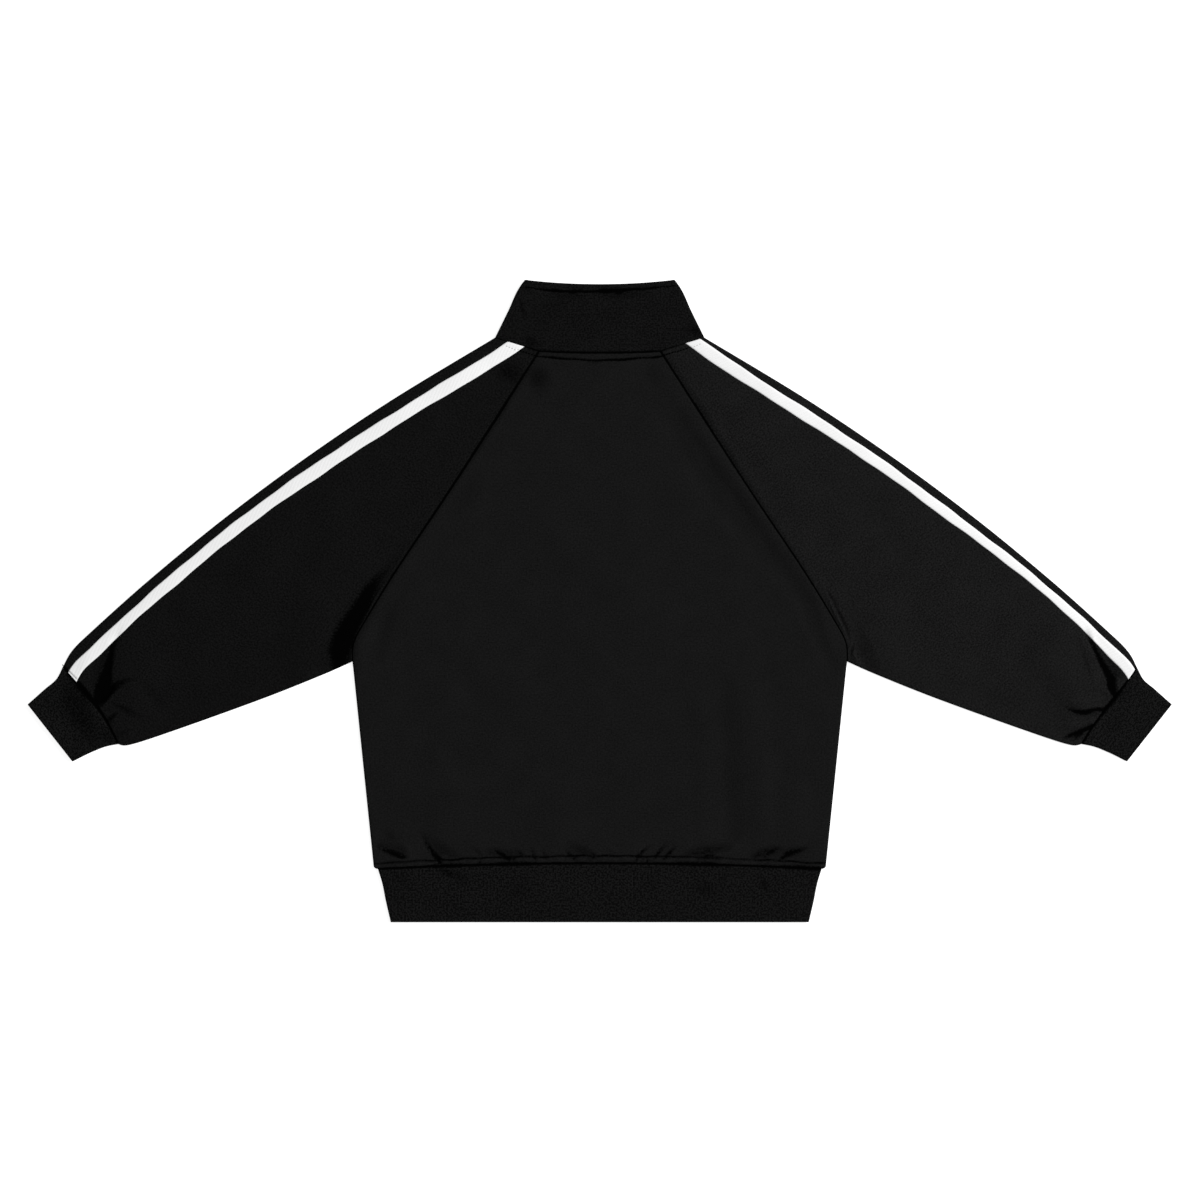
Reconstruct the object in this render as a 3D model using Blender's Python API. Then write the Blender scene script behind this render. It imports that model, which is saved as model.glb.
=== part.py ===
"""Track jacket laid flat with its back up.

Frame: x runs across the jacket, y runs up its back from the hem to the collar, z is up.
The origin is the middle of the jacket's outline, on the surface that it lies on.
The front lies on that surface. The back, the backs of the sleeves and the back of the
collar lie over it. Each cloth piece is a wall between an outer and an inner grid of points.
Sizes and tables are in millimetres, and metres() turns a point into Blender's unit.
"""
import math

import bmesh
import bpy
from mathutils import Vector

# ---- driving sizes -------------------------------------------------------------------------

CLOTH = 1.5              # double-knit cloth of the body and the sleeves
RIB_WALL = 2.6           # rib knit, folded double, at the hem and the cuffs
COLLAR_WALL = 2.8        # collar cloth, folded double
SEAM_GAP = 0.3           # between two pieces that are sewn together

BACK_INSIDE = 3.5        # height of the back's inner face over the floor
RIB_INSIDE = 3.5         # the same in the hem band and the cuffs
COLLAR_INSIDE = 3.6      # the same in the collar
EDGE_ROUND = 3.0         # the cloth starts to turn over this far in from a folded edge

NECK_POINT = (127.6, 321.2)      # where the collar, its seam and the overarm fold meet
BACK_RAGLAN_TOP = (74.0, 304.6)
BACK_NECK_RISE = -2.2            # height of the seam's middle over the raglan tops
FRONT_RAGLAN_TOP = (92.0, 288.0)
FRONT_NECK_RISE = -26.4
ARMPIT = (301.5, -73.8)
HEM_SEAM_SIDE = (275.4, -326.6)
HEM_SEAM_RISE = 7.2
HEM_FOOT = -391.5                # lower edge of the hem band
FRONT_EDGE = 5.0                 # each front ends this far from the centre line

COLLAR_TOP = 391.5               # corners of the collar's top edge
COLLAR_TOP_RISE = -5.4           # its middle on the back
COLLAR_FRONT_RISE = -51.5        # and at the front zip

CUFF_SEAM_TOP = (654.5, -80.0)
CUFF_SEAM_FOOT = (587.4, -174.5)
CUFF_END_TOP = (697.4, -126.0)
CUFF_END_FOOT = (642.6, -195.7)

STRIPE_TAPE = 0.9                # thickness of the white tape on each sleeve

ZIP_TAPE = 1.0
ZIP_TAPE_WIDTH = 13.0
ZIP_SINGLE = 16.0                # doubled walls are single this far out, under the zip tape
ZIP_SINGLE_STEP = 2.0            # and double again this much further out
CHAIN_WIDTH = 4.6
CHAIN_DEPTH = 1.7
CHAIN_MIDDLE = 2.3               # height of the chain's middle over the front's outer face
ZIP_BOX_LENGTH = 5.6
ZIP_BOX_DEPTH = 2.5
ZIP_BOX_INSET = 0.6              # its foot over the hem's foot
ZIP_BOX_DROP = 0.2               # its middle under the chain's
ZIP_TAPE_MIDDLE = 9.0            # middle column of a zip tape, out from the centre line
SLIDER_FOOT = 325.0              # lower end of the slider
SLIDER_PLATE = 0.7
SLIDER_OVERLAP = 0.3             # its post and its bridge start this deep inside the plate
SLIDER_POST = (1.4, 0.6, 10.8)   # half width, foot over the chain's end, top over the slider's foot
PULL_LENGTH = 26.0
PULL_WIDTH = 6.4
PULL_DEPTH = 0.8
PULL_RING = 2.7                  # half width of the tab's upper end
PULL_HEAD = 0.45                 # the tab reaches this far over its axis
PULL_NECK = (-6.0, -8.5)         # it widens between these distances under its axis
PULL_CORNER = 1.4
PULL_EYE = (1.4, -0.45, -5.2)    # half width, upper end, lower end
PULL_AXIS = (330.5, 1.75)        # up the front and over the floor

ZIP_TOP = 338.0                  # upper end of the zip tapes
ZIP_FLAT_BELOW = 225.0           # the zip lies flat below this height up the front
CHAIN_IN_SLIDER = 8.0            # the chain ends this far inside the slider
BRIDGE_HALF_WIDTH = 1.0          # of the bridge that holds the pull tab
BRIDGE_REACH = 3.6               # its feet stand this far from the pull's axis
BRIDGE_BAR = 0.7
BRIDGE_ROOM = 0.35               # between its bar and the pull tab
BRIDGE_CORNER = (0.5, 0.4)

FRONT_LIFT = 1.9                 # the front rises this much over the slider and its pull tab
FRONT_LIFT_OUT = (9.0, 47.0)     # it fades out between these distances from the centre line
FRONT_LIFT_UP = (232.0, 294.0)   # and grows between these heights up the front
BACK_LIFT = 2.7                  # the back rises over the front, with a longer fade
BACK_LIFT_OUT = (14.0, 76.0)
BACK_LIFT_UP = (205.0, 305.0)
BACK_LIFT_EASES = (344.0, 388.0) # it sinks again between these heights
BACK_LIFT_AT_TOP = 0.3           # to this share

FOLD_DEEPEST = -1.4              # the upper layer sinks no further, clear of the lower one
FOLD_HIGHEST = 3.0
FOLD_FOLLOW = 0.55               # the inner face rises less, as the cloth bunches up there

SLEEVE_FROM_NECK = 0.5           # its first row lies this far out, clear of the collar's fold
SLEEVE_AT_ARMPIT = 0.59          # share of the overarm fold that lies opposite the armpit
SLEEVE_BOWED = 0.94              # past this share, rows follow the bow of the cuff's seam
CUFF_AXIS = (0.8155, -0.5788)    # square to the cuff's seam

# ---- plan curves of one half: out from the centre line, up the jacket ----------------------

OVERARM = [
    NECK_POINT,
    (254.4, 244.6),
    (363.0, 171.4),
    (461.2, 98.2),
    (550.2, 25.0),
    (618.5, -36.0),
    (643.2, -60.4),
    CUFF_SEAM_TOP,
]

BACK_RAGLAN = [
    BACK_RAGLAN_TOP,
    (176.8, 144.6),
    (248.0, 38.0),
    (288.5, -28.0),
    (300.5, -52.0),
    ARMPIT,
]

# the back hides this seam
FRONT_RAGLAN = [
    FRONT_RAGLAN_TOP,
    (172.0, 150.0),
    (243.0, 40.0),
    (287.0, -28.0),
    (300.0, -52.0),
    ARMPIT,
]

UNDERARM = [
    ARMPIT,
    (337.2, -89.7),
    (410.7, -119.0),
    (518.9, -158.0),
    (572.0, -175.2),
    CUFF_SEAM_FOOT,
]

# ---- tables with named columns -------------------------------------------------------------

# side edge of the hem band: share of the way down, out
HEM_SIDE = [
    (0.0, 270.6),
    (0.28, 265.2),
    (0.6, 261.0),
    (1.0, 254.9),
]

# side edge of the collar: share of the way up, out
COLLAR_SIDE = [
    (0.0, NECK_POINT[0]),
    (0.45, 112.0),
    (0.9, 96.6),
    (1.0, 91.4),
]

# a cuff pulls in behind its seam: share of the way out, in at its top, in at its foot
CUFF_WAIST = [
    (0.0, 0.0, 0.0),
    (0.22, 4.4, 2.4),
    (0.55, 2.6, 2.4),
    (1.0, 0.0, 0.0),
]

# a cuff's seam bows out along the sleeve: at its middle, more at its foot; left cuff, then right
CUFF_SEAM_BOW = [
    (-5.2, -1.6),
    (-0.4, -3.0),
]

# edge turned and stitched above the hem seam: distance over the seam, height it adds
HEM_RIDGE = [
    (0.0, 1.3),
    (2.2, 1.6),
    (5.8, 1.6),
    (8.2, -0.3),
    (10.0, 0.0),
    (20.0, 0.0),
]

# stripe: share of the sleeve's length, then its start and end in from the overarm fold,
# first on the left sleeve and then on the right one
STRIPE = [
    (0.0, 16.8, 37.5, 4.9, 24.5),
    (0.25, 14.8, 30.8, 10.7, 25.0),
    (0.5, 11.6, 26.6, 10.2, 22.9),
    (0.75, 12.2, 26.2, 8.4, 19.0),
    (0.93, 13.8, 27.6, 8.5, 21.6),
    (1.0, 8.9, 24.5, 3.4, 18.4),
]

# half outline of a slider plate: half width, distance over the slider's foot
SLIDER_OUTLINE = [
    (3.3, 0.0),
    (4.3, 6.5),
    (4.3, 8.6),
    (2.6, 11.2),
]

# largest folds of the upper layer: from x, y, to x, y, half its width at its start and at
# its end, height, which is below zero for a trough
FOLDS = [
    # left sleeve: puffed cloth beside the armpit, and the trough between it and the seam
    (-300.0, 36.0, -372.0, -62.0, 34.0, 46.0, 2.6),
    (-268.0, 28.0, -318.0, -60.0, 9.0, 17.0, -2.6),
    # left sleeve: cloth gathered into the cuff
    (-560.0, -58.0, -602.0, -150.0, 46.0, 34.0, 2.8),
    (-586.0, -52.0, -612.0, -128.0, 7.0, 13.0, -3.2),
    (-612.0, -46.0, -634.0, -82.0, 12.0, 12.0, 1.6),
    # right sleeve: cloth gathered into the cuff
    (552.0, -54.0, 604.0, -136.0, 44.0, 34.0, 2.8),
    (588.0, -40.0, 622.0, -110.0, 8.0, 12.0, -3.2),
    (614.0, -46.0, 640.0, -84.0, 11.0, 11.0, 1.6),
    (574.0, -137.0, 612.0, -134.0, 7.0, 9.0, -2.2),
    # right sleeve: wrinkles by the armpit
    (297.0, -34.0, 330.0, -84.0, 22.0, 26.0, 1.8),
    (306.0, -50.0, 322.0, -76.0, 7.0, 9.0, -1.6),
    # back: cloth raised along the right raglan seam, and a soft trough beside it
    (96.0, 246.0, 270.0, -20.0, 16.0, 18.0, 1.3),
    (66.0, 236.0, 240.0, -24.0, 18.0, 24.0, -1.4),
    # back: soft folds that run down to the hem
    (112.0, -90.0, 128.0, -290.0, 26.0, 34.0, 1.4),
    (168.0, -70.0, 192.0, -300.0, 26.0, 36.0, 1.5),
    (-170.0, -100.0, -182.0, -290.0, 34.0, 40.0, 1.3),
    (-60.0, -120.0, -40.0, -300.0, 40.0, 44.0, 1.1),
    # back: puckers over the hem seam
    (-252.0, -302.0, -246.0, -318.0, 14.0, 14.0, -1.3),
    (-212.0, -292.0, -197.0, -318.0, 10.0, 12.0, -1.4),
    (-70.0, -304.0, -68.0, -320.0, 12.0, 12.0, -0.9),
    (146.0, -300.0, 143.0, -320.0, 14.0, 14.0, -1.1),
    (220.0, -300.0, 218.0, -320.0, 14.0, 14.0, -1.1),
    (246.0, -300.0, 243.0, -318.0, 12.0, 14.0, -1.2),
    # left sleeve: a hollow beside the top of its seam
    (-110.0, 285.0, -106.0, 266.0, 15.0, 15.0, -1.1),
]

# ---- how finely the walls are divided ------------------------------------------------------

RAGLAN_ROWS = 18
SIDE_SHARES = (0.07, 0.15, 0.24, 0.33, 0.42, 0.52, 0.62, 0.72, 0.81, 0.88, 0.93)
UNDERARM_SHARES = (0.07, 0.15, 0.24, 0.34, 0.44, 0.54, 0.64, 0.73, 0.81, 0.87, 0.92, 0.96, 1.0)
BACK_HALF_COLUMNS = 20
FRONT_SHARES = (0.0, 0.14, 0.333, 0.563, 0.793)
SLEEVE_BACK_SHARES = (0.06, 0.12, 0.19, 0.26, 0.34, 0.42, 0.51, 0.6, 0.69, 0.78, 0.86, 0.93)
SLEEVE_FRONT_SHARES = (0.33, 0.67)
CUFF_SHARES = (0.14, 0.28, 0.42, 0.57, 0.72, 0.86)
HEM_ROWS = (0.0, 0.05, 0.28, 0.6, 1.0)
COLLAR_ROWS = (0.0, 0.45, 0.9, 1.0)
CUFF_ROWS = (0.0, 0.22, 0.55, 1.0)
SEAM_ANGLES = (0.0, 50.0, 90.0)
FOLD_ANGLES = (0.0, 45.0, 90.0, 135.0, 180.0)
# columns of the collar, out at the neck and out at the top edge
COLLAR_BACK_COLUMNS = (
    (0.0, 0.0), (18.5, 13.5), (37.0, 27.0), (55.5, 41.0), (74.0, 55.0), (92.0, 68.0), (108.0, 79.0),
)
COLLAR_FRONT_COLUMNS = (
    (108.0, 80.0), (92.0, 70.0), (72.0, 58.0), (52.0, 45.0), (33.0, 31.0),
    (18.0, 18.0), (ZIP_SINGLE, ZIP_SINGLE), (FRONT_EDGE, FRONT_EDGE),
)
HEM_FRONT_COLUMNS = (215.0, 155.0, 95.0, 45.0, 18.0, ZIP_SINGLE, FRONT_EDGE)


# ---- small helpers -------------------------------------------------------------------------

def metres(point):
    """A point in millimetres as a Blender vector."""
    return Vector(point) * 0.001


def mix(a, b, share):
    """The number, or the plan point, a share of the way from a to b."""
    if isinstance(a, tuple):
        return tuple(mix(p, q, share) for p, q in zip(a, b))
    return a + (b - a) * share


def ease(value):
    """0 below 0, 1 above 1, and a soft rise between."""
    held = min(max(value, 0.0), 1.0)
    return held * held * (3.0 - 2.0 * held)


def grown(value, span):
    """The soft rise from 0 to 1 over a span of the value."""
    return ease((value - span[0]) / (span[1] - span[0]))


def read_table(table, key, column):
    """A column of a table, read between its rows at the given key."""
    for lower, upper in zip(table, table[1:]):
        if key <= upper[0]:
            share = (key - lower[0]) / (upper[0] - lower[0])
            return mix(lower[column], upper[column], max(share, 0.0))
    return table[-1][column]


def move(point, direction, distance):
    """A plan point moved along a unit direction."""
    return (point[0] + direction[0] * distance, point[1] + direction[1] * distance)


def heading(start, end):
    """Unit plan direction from one point to another."""
    run = math.dist(start, end)
    return ((end[0] - start[0]) / run, (end[1] - start[1]) / run)


def arch(x, half_width, rise):
    """Height of a shallow arch over the line between its ends."""
    return rise * (1.0 - (x / half_width) ** 2)


class PlanCurve:
    """A smooth line through a few plan points, read by the share of its length."""

    STEPS = 16

    def __init__(self, knots):
        padded = [knots[0]] + list(knots) + [knots[-1]]
        self.points = []
        for index in range(len(knots) - 1):
            four = padded[index:index + 4]
            self.points += [self.between(four, step / self.STEPS) for step in range(self.STEPS)]
        self.points.append(knots[-1])
        self.lengths = [0.0]
        for a, b in zip(self.points, self.points[1:]):
            self.lengths.append(self.lengths[-1] + math.dist(a, b))

    @staticmethod
    def between(four, t):
        """Catmull-Rom curve between the middle two of four points."""
        weights = (
            -0.5 * t + t * t - 0.5 * t ** 3,
            1.0 - 2.5 * t * t + 1.5 * t ** 3,
            0.5 * t + 2.0 * t * t - 1.5 * t ** 3,
            -0.5 * t * t + 0.5 * t ** 3,
        )
        return tuple(sum(w * p[axis] for w, p in zip(weights, four)) for axis in (0, 1))

    def at(self, share):
        """The point a share of the way along."""
        goal = share * self.lengths[-1]
        index = 1
        while index < len(self.points) - 1 and self.lengths[index] < goal:
            index += 1
        start = self.lengths[index - 1]
        part = (goal - start) / (self.lengths[index] - start)
        return mix(self.points[index - 1], self.points[index], part)

    def beside(self, share, offset):
        """The point beside it, offset to the outer side of a curve that runs down."""
        along = heading(self.at(max(share - 0.01, 0.0)), self.at(min(share + 0.01, 1.0)))
        return move(self.at(share), (-along[1], along[0]), offset)


# ---- heights of the layers -----------------------------------------------------------------

def fold_height(x, y):
    """Height that the folds add to the upper layer at a plan point."""
    total = 0.0
    for x0, y0, x1, y1, width0, width1, height in FOLDS:
        run = math.dist((x0, y0), (x1, y1))
        along = ((x - x0) * (x1 - x0) + (y - y0) * (y1 - y0)) / run
        aside = abs((x - x0) * (y1 - y0) - (y - y0) * (x1 - x0)) / run
        half_width = mix(width0, width1, min(max(along / run, 0.0), 1.0))
        beyond = max(-along, along - run, 0.0)
        total += height * (1.0 - ease(math.hypot(aside, beyond) / half_width))
    return min(max(total, FOLD_DEEPEST), FOLD_HIGHEST)


def hem_seam(x):
    """Height up the jacket of the seam between the body and the hem band."""
    return HEM_SEAM_SIDE[1] + arch(x, HEM_SEAM_SIDE[0], HEM_SEAM_RISE)


def ridge_height(x, y):
    """Height that the turned edge adds just above the hem seam."""
    if abs(x) > HEM_SEAM_SIDE[0] + EDGE_ROUND:
        return 0.0
    return read_table(HEM_RIDGE, y - hem_seam(x), 1)


def front_lift(x, y):
    """The front rises over the slider and its pull tab."""
    return FRONT_LIFT * (1.0 - grown(abs(x), FRONT_LIFT_OUT)) * grown(y, FRONT_LIFT_UP)


def back_lift(x, y):
    """The back rises over the lifted front."""
    along = grown(y, BACK_LIFT_UP) * mix(1.0, BACK_LIFT_AT_TOP, grown(y, BACK_LIFT_EASES))
    return BACK_LIFT * (1.0 - grown(abs(x), BACK_LIFT_OUT)) * along


def thinned(wall, x):
    """A doubled wall is single beside the front zip, where the zip's tape lies on it."""
    return mix(CLOTH, wall, min(max((abs(x) - ZIP_SINGLE) / ZIP_SINGLE_STEP, 0.0), 1.0))


class Layers:
    """Heights of a flattened piece: its upper wall, its lower wall and the middle between."""

    def __init__(self, upper_inside, wall, folds=False):
        self.upper_inside = upper_inside
        self.wall = wall
        self.folds = folds
        self.middle = 0.5 * (upper_inside + wall)

    def upper(self, x, y):
        """Outer and inner heights of the upper wall."""
        inner = self.upper_inside + back_lift(x, y)
        outer = inner + self.wall
        if self.folds:
            fold = fold_height(x, y)
            outer += fold + ridge_height(x, y)
            inner += fold if fold < 0.0 else FOLD_FOLLOW * fold
        return outer, inner

    def lower(self, x, y):
        """Outer and inner heights of the lower wall."""
        outer = front_lift(x, y)
        return outer, outer + thinned(self.wall, x)

    def height(self, x, y, angle, face, seam):
        """Height of a face, 0 outer or 1 inner, where the wall has turned by an angle."""
        lean = math.cos(math.radians(angle))
        edge = self.middle
        if seam and angle < 0.0:
            edge += 0.5 * SEAM_GAP
        if seam and angle > 180.0:
            edge -= 0.5 * SEAM_GAP
        wall = self.upper(x, y) if lean >= 0.0 else self.lower(x, y)
        return edge + (wall[face] - edge) * abs(lean)


class StripeLayers(Layers):
    """The tape's wall lies on the sleeve's upper wall."""

    def upper(self, x, y):
        """Outer and inner heights of the tape."""
        cloth = super().upper(x, y)[0]
        return cloth + SEAM_GAP + STRIPE_TAPE, cloth + SEAM_GAP


class ZipLayers(Layers):
    """A strip of the zip, at a height over the front's outer face."""

    def __init__(self, foot, depth):
        super().__init__(0.0, 0.0)
        self.foot = foot
        self.depth = depth

    def lower(self, x, y):
        """Outer and inner heights of the strip."""
        outer = front_lift(x, y) + self.foot
        return outer, outer + self.depth


# ---- stations ------------------------------------------------------------------------------
# A station is a plan point on the outer face, one on the inner face, and the angle that the
# wall has turned by: 0 in the upper layer, 90 halfway round a fold, 180 in the lower layer.
# Below 0 and above 180 the upper and the lower wall turn towards a seam on the other edge.

def flat_station(point, angle=0.0):
    """A station where the wall lies flat."""
    return (point, point, angle)


def edge_station(edge, inward, angle, wall, turned=1.0):
    """A station near an edge; turned is 1 where the wall turns over there and 0 where not."""
    across = abs(math.sin(math.radians(angle)))
    flat_in = EDGE_ROUND * (1.0 - math.degrees(math.asin(across)) / 90.0)
    outer_in = mix(flat_in, EDGE_ROUND * (1.0 - across), turned)
    inner_in = mix(flat_in, EDGE_ROUND - (EDGE_ROUND - wall) * across, turned)
    flat_angle = 0.0 if angle <= 90.0 else 180.0
    return (move(edge, inward, outer_in), move(edge, inward, inner_in), mix(flat_angle, angle, turned))


def flipped(stations):
    """The stations on the other side of the centre line, in the other order."""
    return [((-p[0], p[1]), (-q[0], q[1]), angle) for p, q, angle in reversed(stations)]


def moved_row(row, direction, distance):
    """A row of stations moved in plan; distance is a function of the plan point and angle."""
    return [
        (move(p, direction, distance(p, angle)), move(q, direction, distance(q, angle)), angle)
        for p, q, angle in row
    ]


def arched_row(row, half_width, rise):
    """A row of stations moved up to an arch over the line between its ends."""
    return moved_row(row, (0.0, 1.0), lambda point, angle: arch(point[0], half_width, rise))


def build_wall(name, rows, layers, material, side=1, closed=False):
    """A cloth wall through rows of stations; closed joins each row's end to its start."""
    mesh = bpy.data.meshes.new(name)
    wall = bmesh.new()
    skins = ([], [])
    for row in rows:
        for face, skin in enumerate(skins):
            verts = []
            for station in row:
                x, y = station[face]
                z = layers.height(side * x, y, station[2], face, not closed)
                verts.append(wall.verts.new(metres((side * x, y, z))))
            skin.append(verts)
    count = len(rows[0])
    spans = [(c, (c + 1) % count) for c in range(count if closed else count - 1)]
    for skin in skins:
        for above, below in zip(skin, skin[1:]):
            for left, right in spans:
                wall.faces.new((above[left], above[right], below[right], below[left]))
    outer, inner = skins
    for row in (0, -1):
        for left, right in spans:
            wall.faces.new((outer[row][left], outer[row][right], inner[row][right], inner[row][left]))
    if not closed:
        for column in (0, -1):
            for r in range(len(rows) - 1):
                rim = (outer[r][column], outer[r + 1][column], inner[r + 1][column], inner[r][column])
                wall.faces.new(rim)
    bmesh.ops.recalc_face_normals(wall, faces=wall.faces)
    wall.to_mesh(mesh)
    wall.free()
    return place_mesh(name, mesh, material)


def place_mesh(name, mesh, material):
    """Link a mesh as a smooth-shaded object of the jacket."""
    mesh.materials.append(material)
    mesh.shade_smooth()
    mesh.set_sharp_from_angle(angle=math.radians(40.0))
    obj = bpy.data.objects.new(name, mesh)
    bpy.context.scene.collection.objects.link(obj)
    obj.parent = jacket
    return obj


# ---- body ----------------------------------------------------------------------------------

def body_edges(raglan, neck_rise):
    """Rows of a body panel: its edge point, how far it turns over there, and its arch."""
    edges = []
    for row in range(RAGLAN_ROWS + 1):
        share = row / RAGLAN_ROWS
        point = raglan.beside(share, -0.5 * SEAM_GAP)
        if row == 0:
            point = move(point, (0.0, -1.0), 0.5 * SEAM_GAP)
        edges.append((point, 0.0, mix(neck_rise, HEM_SEAM_RISE, share)))
    length = ARMPIT[1] - HEM_SEAM_SIDE[1]
    ridge = [1.0 - row[0] / length for row in reversed(HEM_RIDGE)]
    for share in list(SIDE_SHARES) + ridge:
        point = mix(ARMPIT, HEM_SEAM_SIDE, share)
        if share == 1.0:
            point = move(point, (0.0, 1.0), 0.5 * SEAM_GAP)
        edges.append((point, 1.0, HEM_SEAM_RISE))
    return edges


def build_back(material):
    """The back panel, from raglan seam to raglan seam and from the neck to the hem seam."""
    rows = []
    for edge, turned, rise in body_edges(back_raglan, BACK_NECK_RISE):
        half = []
        for column in range(BACK_HALF_COLUMNS):
            x = (edge[0] - EDGE_ROUND) * column / BACK_HALF_COLUMNS
            half.append(flat_station((x, edge[1])))
        for angle in SEAM_ANGLES:
            half.append(edge_station(edge, (-1.0, 0.0), -angle, CLOTH, turned))
        half = arched_row(half, edge[0], rise)
        rows.append(flipped(half[1:]) + half)
    return build_wall("back_panel", rows, cloth_layers, material)


def build_front(name, side, material):
    """One front panel, from the zip to the raglan and side seams."""
    rows = []
    for edge, turned, rise in body_edges(front_raglan, FRONT_NECK_RISE):
        row = []
        for share in FRONT_SHARES:
            x = mix(FRONT_EDGE, edge[0] - EDGE_ROUND, share)
            row.append(flat_station((x, edge[1]), 180.0))
        for angle in SEAM_ANGLES:
            row.append(edge_station(edge, (-1.0, 0.0), 180.0 + angle, CLOTH, turned))
        rows.append(arched_row(row, edge[0], rise))
    return build_wall(name, rows, cloth_layers, material, side=side)


# ---- sleeves -------------------------------------------------------------------------------

def sleeve_frames():
    """Rows of a sleeve: seam points above and below, fold point, turned, share of length."""
    frames = []
    for row in range(RAGLAN_ROWS + 1):
        share = row / RAGLAN_ROWS
        above = back_raglan.beside(share, 0.5 * SEAM_GAP)
        below = front_raglan.beside(share, 0.5 * SEAM_GAP)
        along = SLEEVE_AT_ARMPIT * share
        frames.append((above, below, overarm.at(along), 0.0, along))
    for share in UNDERARM_SHARES:
        foot = underarm.at(share)
        along = mix(SLEEVE_AT_ARMPIT, 1.0, share)
        frames.append((foot, foot, overarm.at(along), 1.0, along))
    return frames


def stripe_stations(share, side):
    """Distances of the stripe's edges and middle from the overarm fold."""
    column = 1 if side < 0 else 3
    near = read_table(STRIPE, share, column)
    far = read_table(STRIPE, share, column + 1)
    return far, 0.5 * (near + far), near


def sleeve_row(frame, side):
    """Stations from the seam over the sleeve's back, round the fold and under to the seam."""
    above, below, top, turned, share = frame
    up, down = heading(above, top), heading(top, below)
    stripe = stripe_stations(share, side)
    row = [edge_station(above, up, -angle, CLOTH, turned) for angle in reversed(SEAM_ANGLES)]
    span = math.dist(above, top) - stripe[0]
    for part in SLEEVE_BACK_SHARES:
        row.append(flat_station(move(above, up, mix(EDGE_ROUND, span, part))))
    for distance in stripe:
        row.append(flat_station(move(top, up, -distance)))
    row += fold_stations(top, (-up[0], -up[1]), down, CLOTH)
    span = math.dist(top, below) - EDGE_ROUND
    for part in SLEEVE_FRONT_SHARES:
        row.append(flat_station(move(top, down, mix(EDGE_ROUND, span, part)), 180.0))
    for angle in SEAM_ANGLES:
        row.append(edge_station(below, (-down[0], -down[1]), 180.0 + angle, CLOTH, turned))
    return row


def fold_stations(edge, inward_above, inward_below, wall):
    """Stations round a fold, from the upper layer to the lower one."""
    stations = []
    for angle in FOLD_ANGLES:
        share = min(max((angle - 45.0) / 90.0, 0.0), 1.0)
        inward = heading((0.0, 0.0), mix(inward_above, inward_below, share))
        stations.append(edge_station(edge, inward, angle, wall))
    return stations


def seam_bow(point, angle, side):
    """How far out along the sleeve a cuff's seam bows, on the upper layer only."""
    if math.cos(math.radians(angle)) < 0.1:
        return 0.0
    share = math.dist(point, CUFF_SEAM_TOP) / math.dist(CUFF_SEAM_FOOT, CUFF_SEAM_TOP)
    middle, skew = CUFF_SEAM_BOW[0 if side < 0 else 1]
    return 4.0 * share * max(1.0 - share, 0.0) * (middle + skew * (2.0 * share - 1.0))


def sleeve_rows(side):
    """All rows of a sleeve, from the neck to the cuff."""
    frames = sleeve_frames()
    rows = []
    for frame in frames:
        row = sleeve_row(frame, side)
        if frame is frames[0]:
            row = moved_row(row, heading(*OVERARM[:2]), lambda point, angle: SLEEVE_FROM_NECK)
        nearness = ease((frame[4] - SLEEVE_BOWED) / (1.0 - SLEEVE_BOWED))
        if nearness > 0.0:
            gap = 0.5 * SEAM_GAP if frame is frames[-1] else 0.0
            bow = [nearness, gap]
            row = moved_row(row, CUFF_AXIS, lambda p, a: bow[0] * seam_bow(p, a, side) - bow[1])
        rows.append(row)
    return rows


def build_sleeve(name, side, material):
    """A raglan sleeve: one piece, folded along the arm and seamed under it."""
    return build_wall(name, sleeve_rows(side), cloth_layers, material, side=side)


def build_stripe(name, side, material):
    """The tape down a sleeve, from its collar end to its cuff end."""
    first = len(SEAM_ANGLES) + len(SLEEVE_BACK_SHARES)
    rows = [row[first:first + 3] for row in sleeve_rows(side)]
    layers = StripeLayers(BACK_INSIDE, CLOTH, folds=True)
    return build_wall(name, rows, layers, material, side=side)


# ---- collar, hem band and cuffs ------------------------------------------------------------

def neck_line(x, raglan_top, rise):
    """Height up the jacket of the neck seam: an arch, then straight to the neck point."""
    if x <= raglan_top[0]:
        return raglan_top[1] + arch(x, raglan_top[0], rise)
    share = (x - raglan_top[0]) / (NECK_POINT[0] - raglan_top[0])
    return mix(raglan_top[1], NECK_POINT[1], share)


def collar_point(column, share, raglan_top, neck_rise, top_rise):
    """A point of the collar: column holds how far out it is at the neck and at the top."""
    neck_x, top_x = column
    top_half = COLLAR_SIDE[-1][1]
    neck = (neck_x, neck_line(neck_x, raglan_top, neck_rise))
    top = (top_x, COLLAR_TOP + arch(top_x, top_half, top_rise))
    return mix(neck, top, share)


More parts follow.
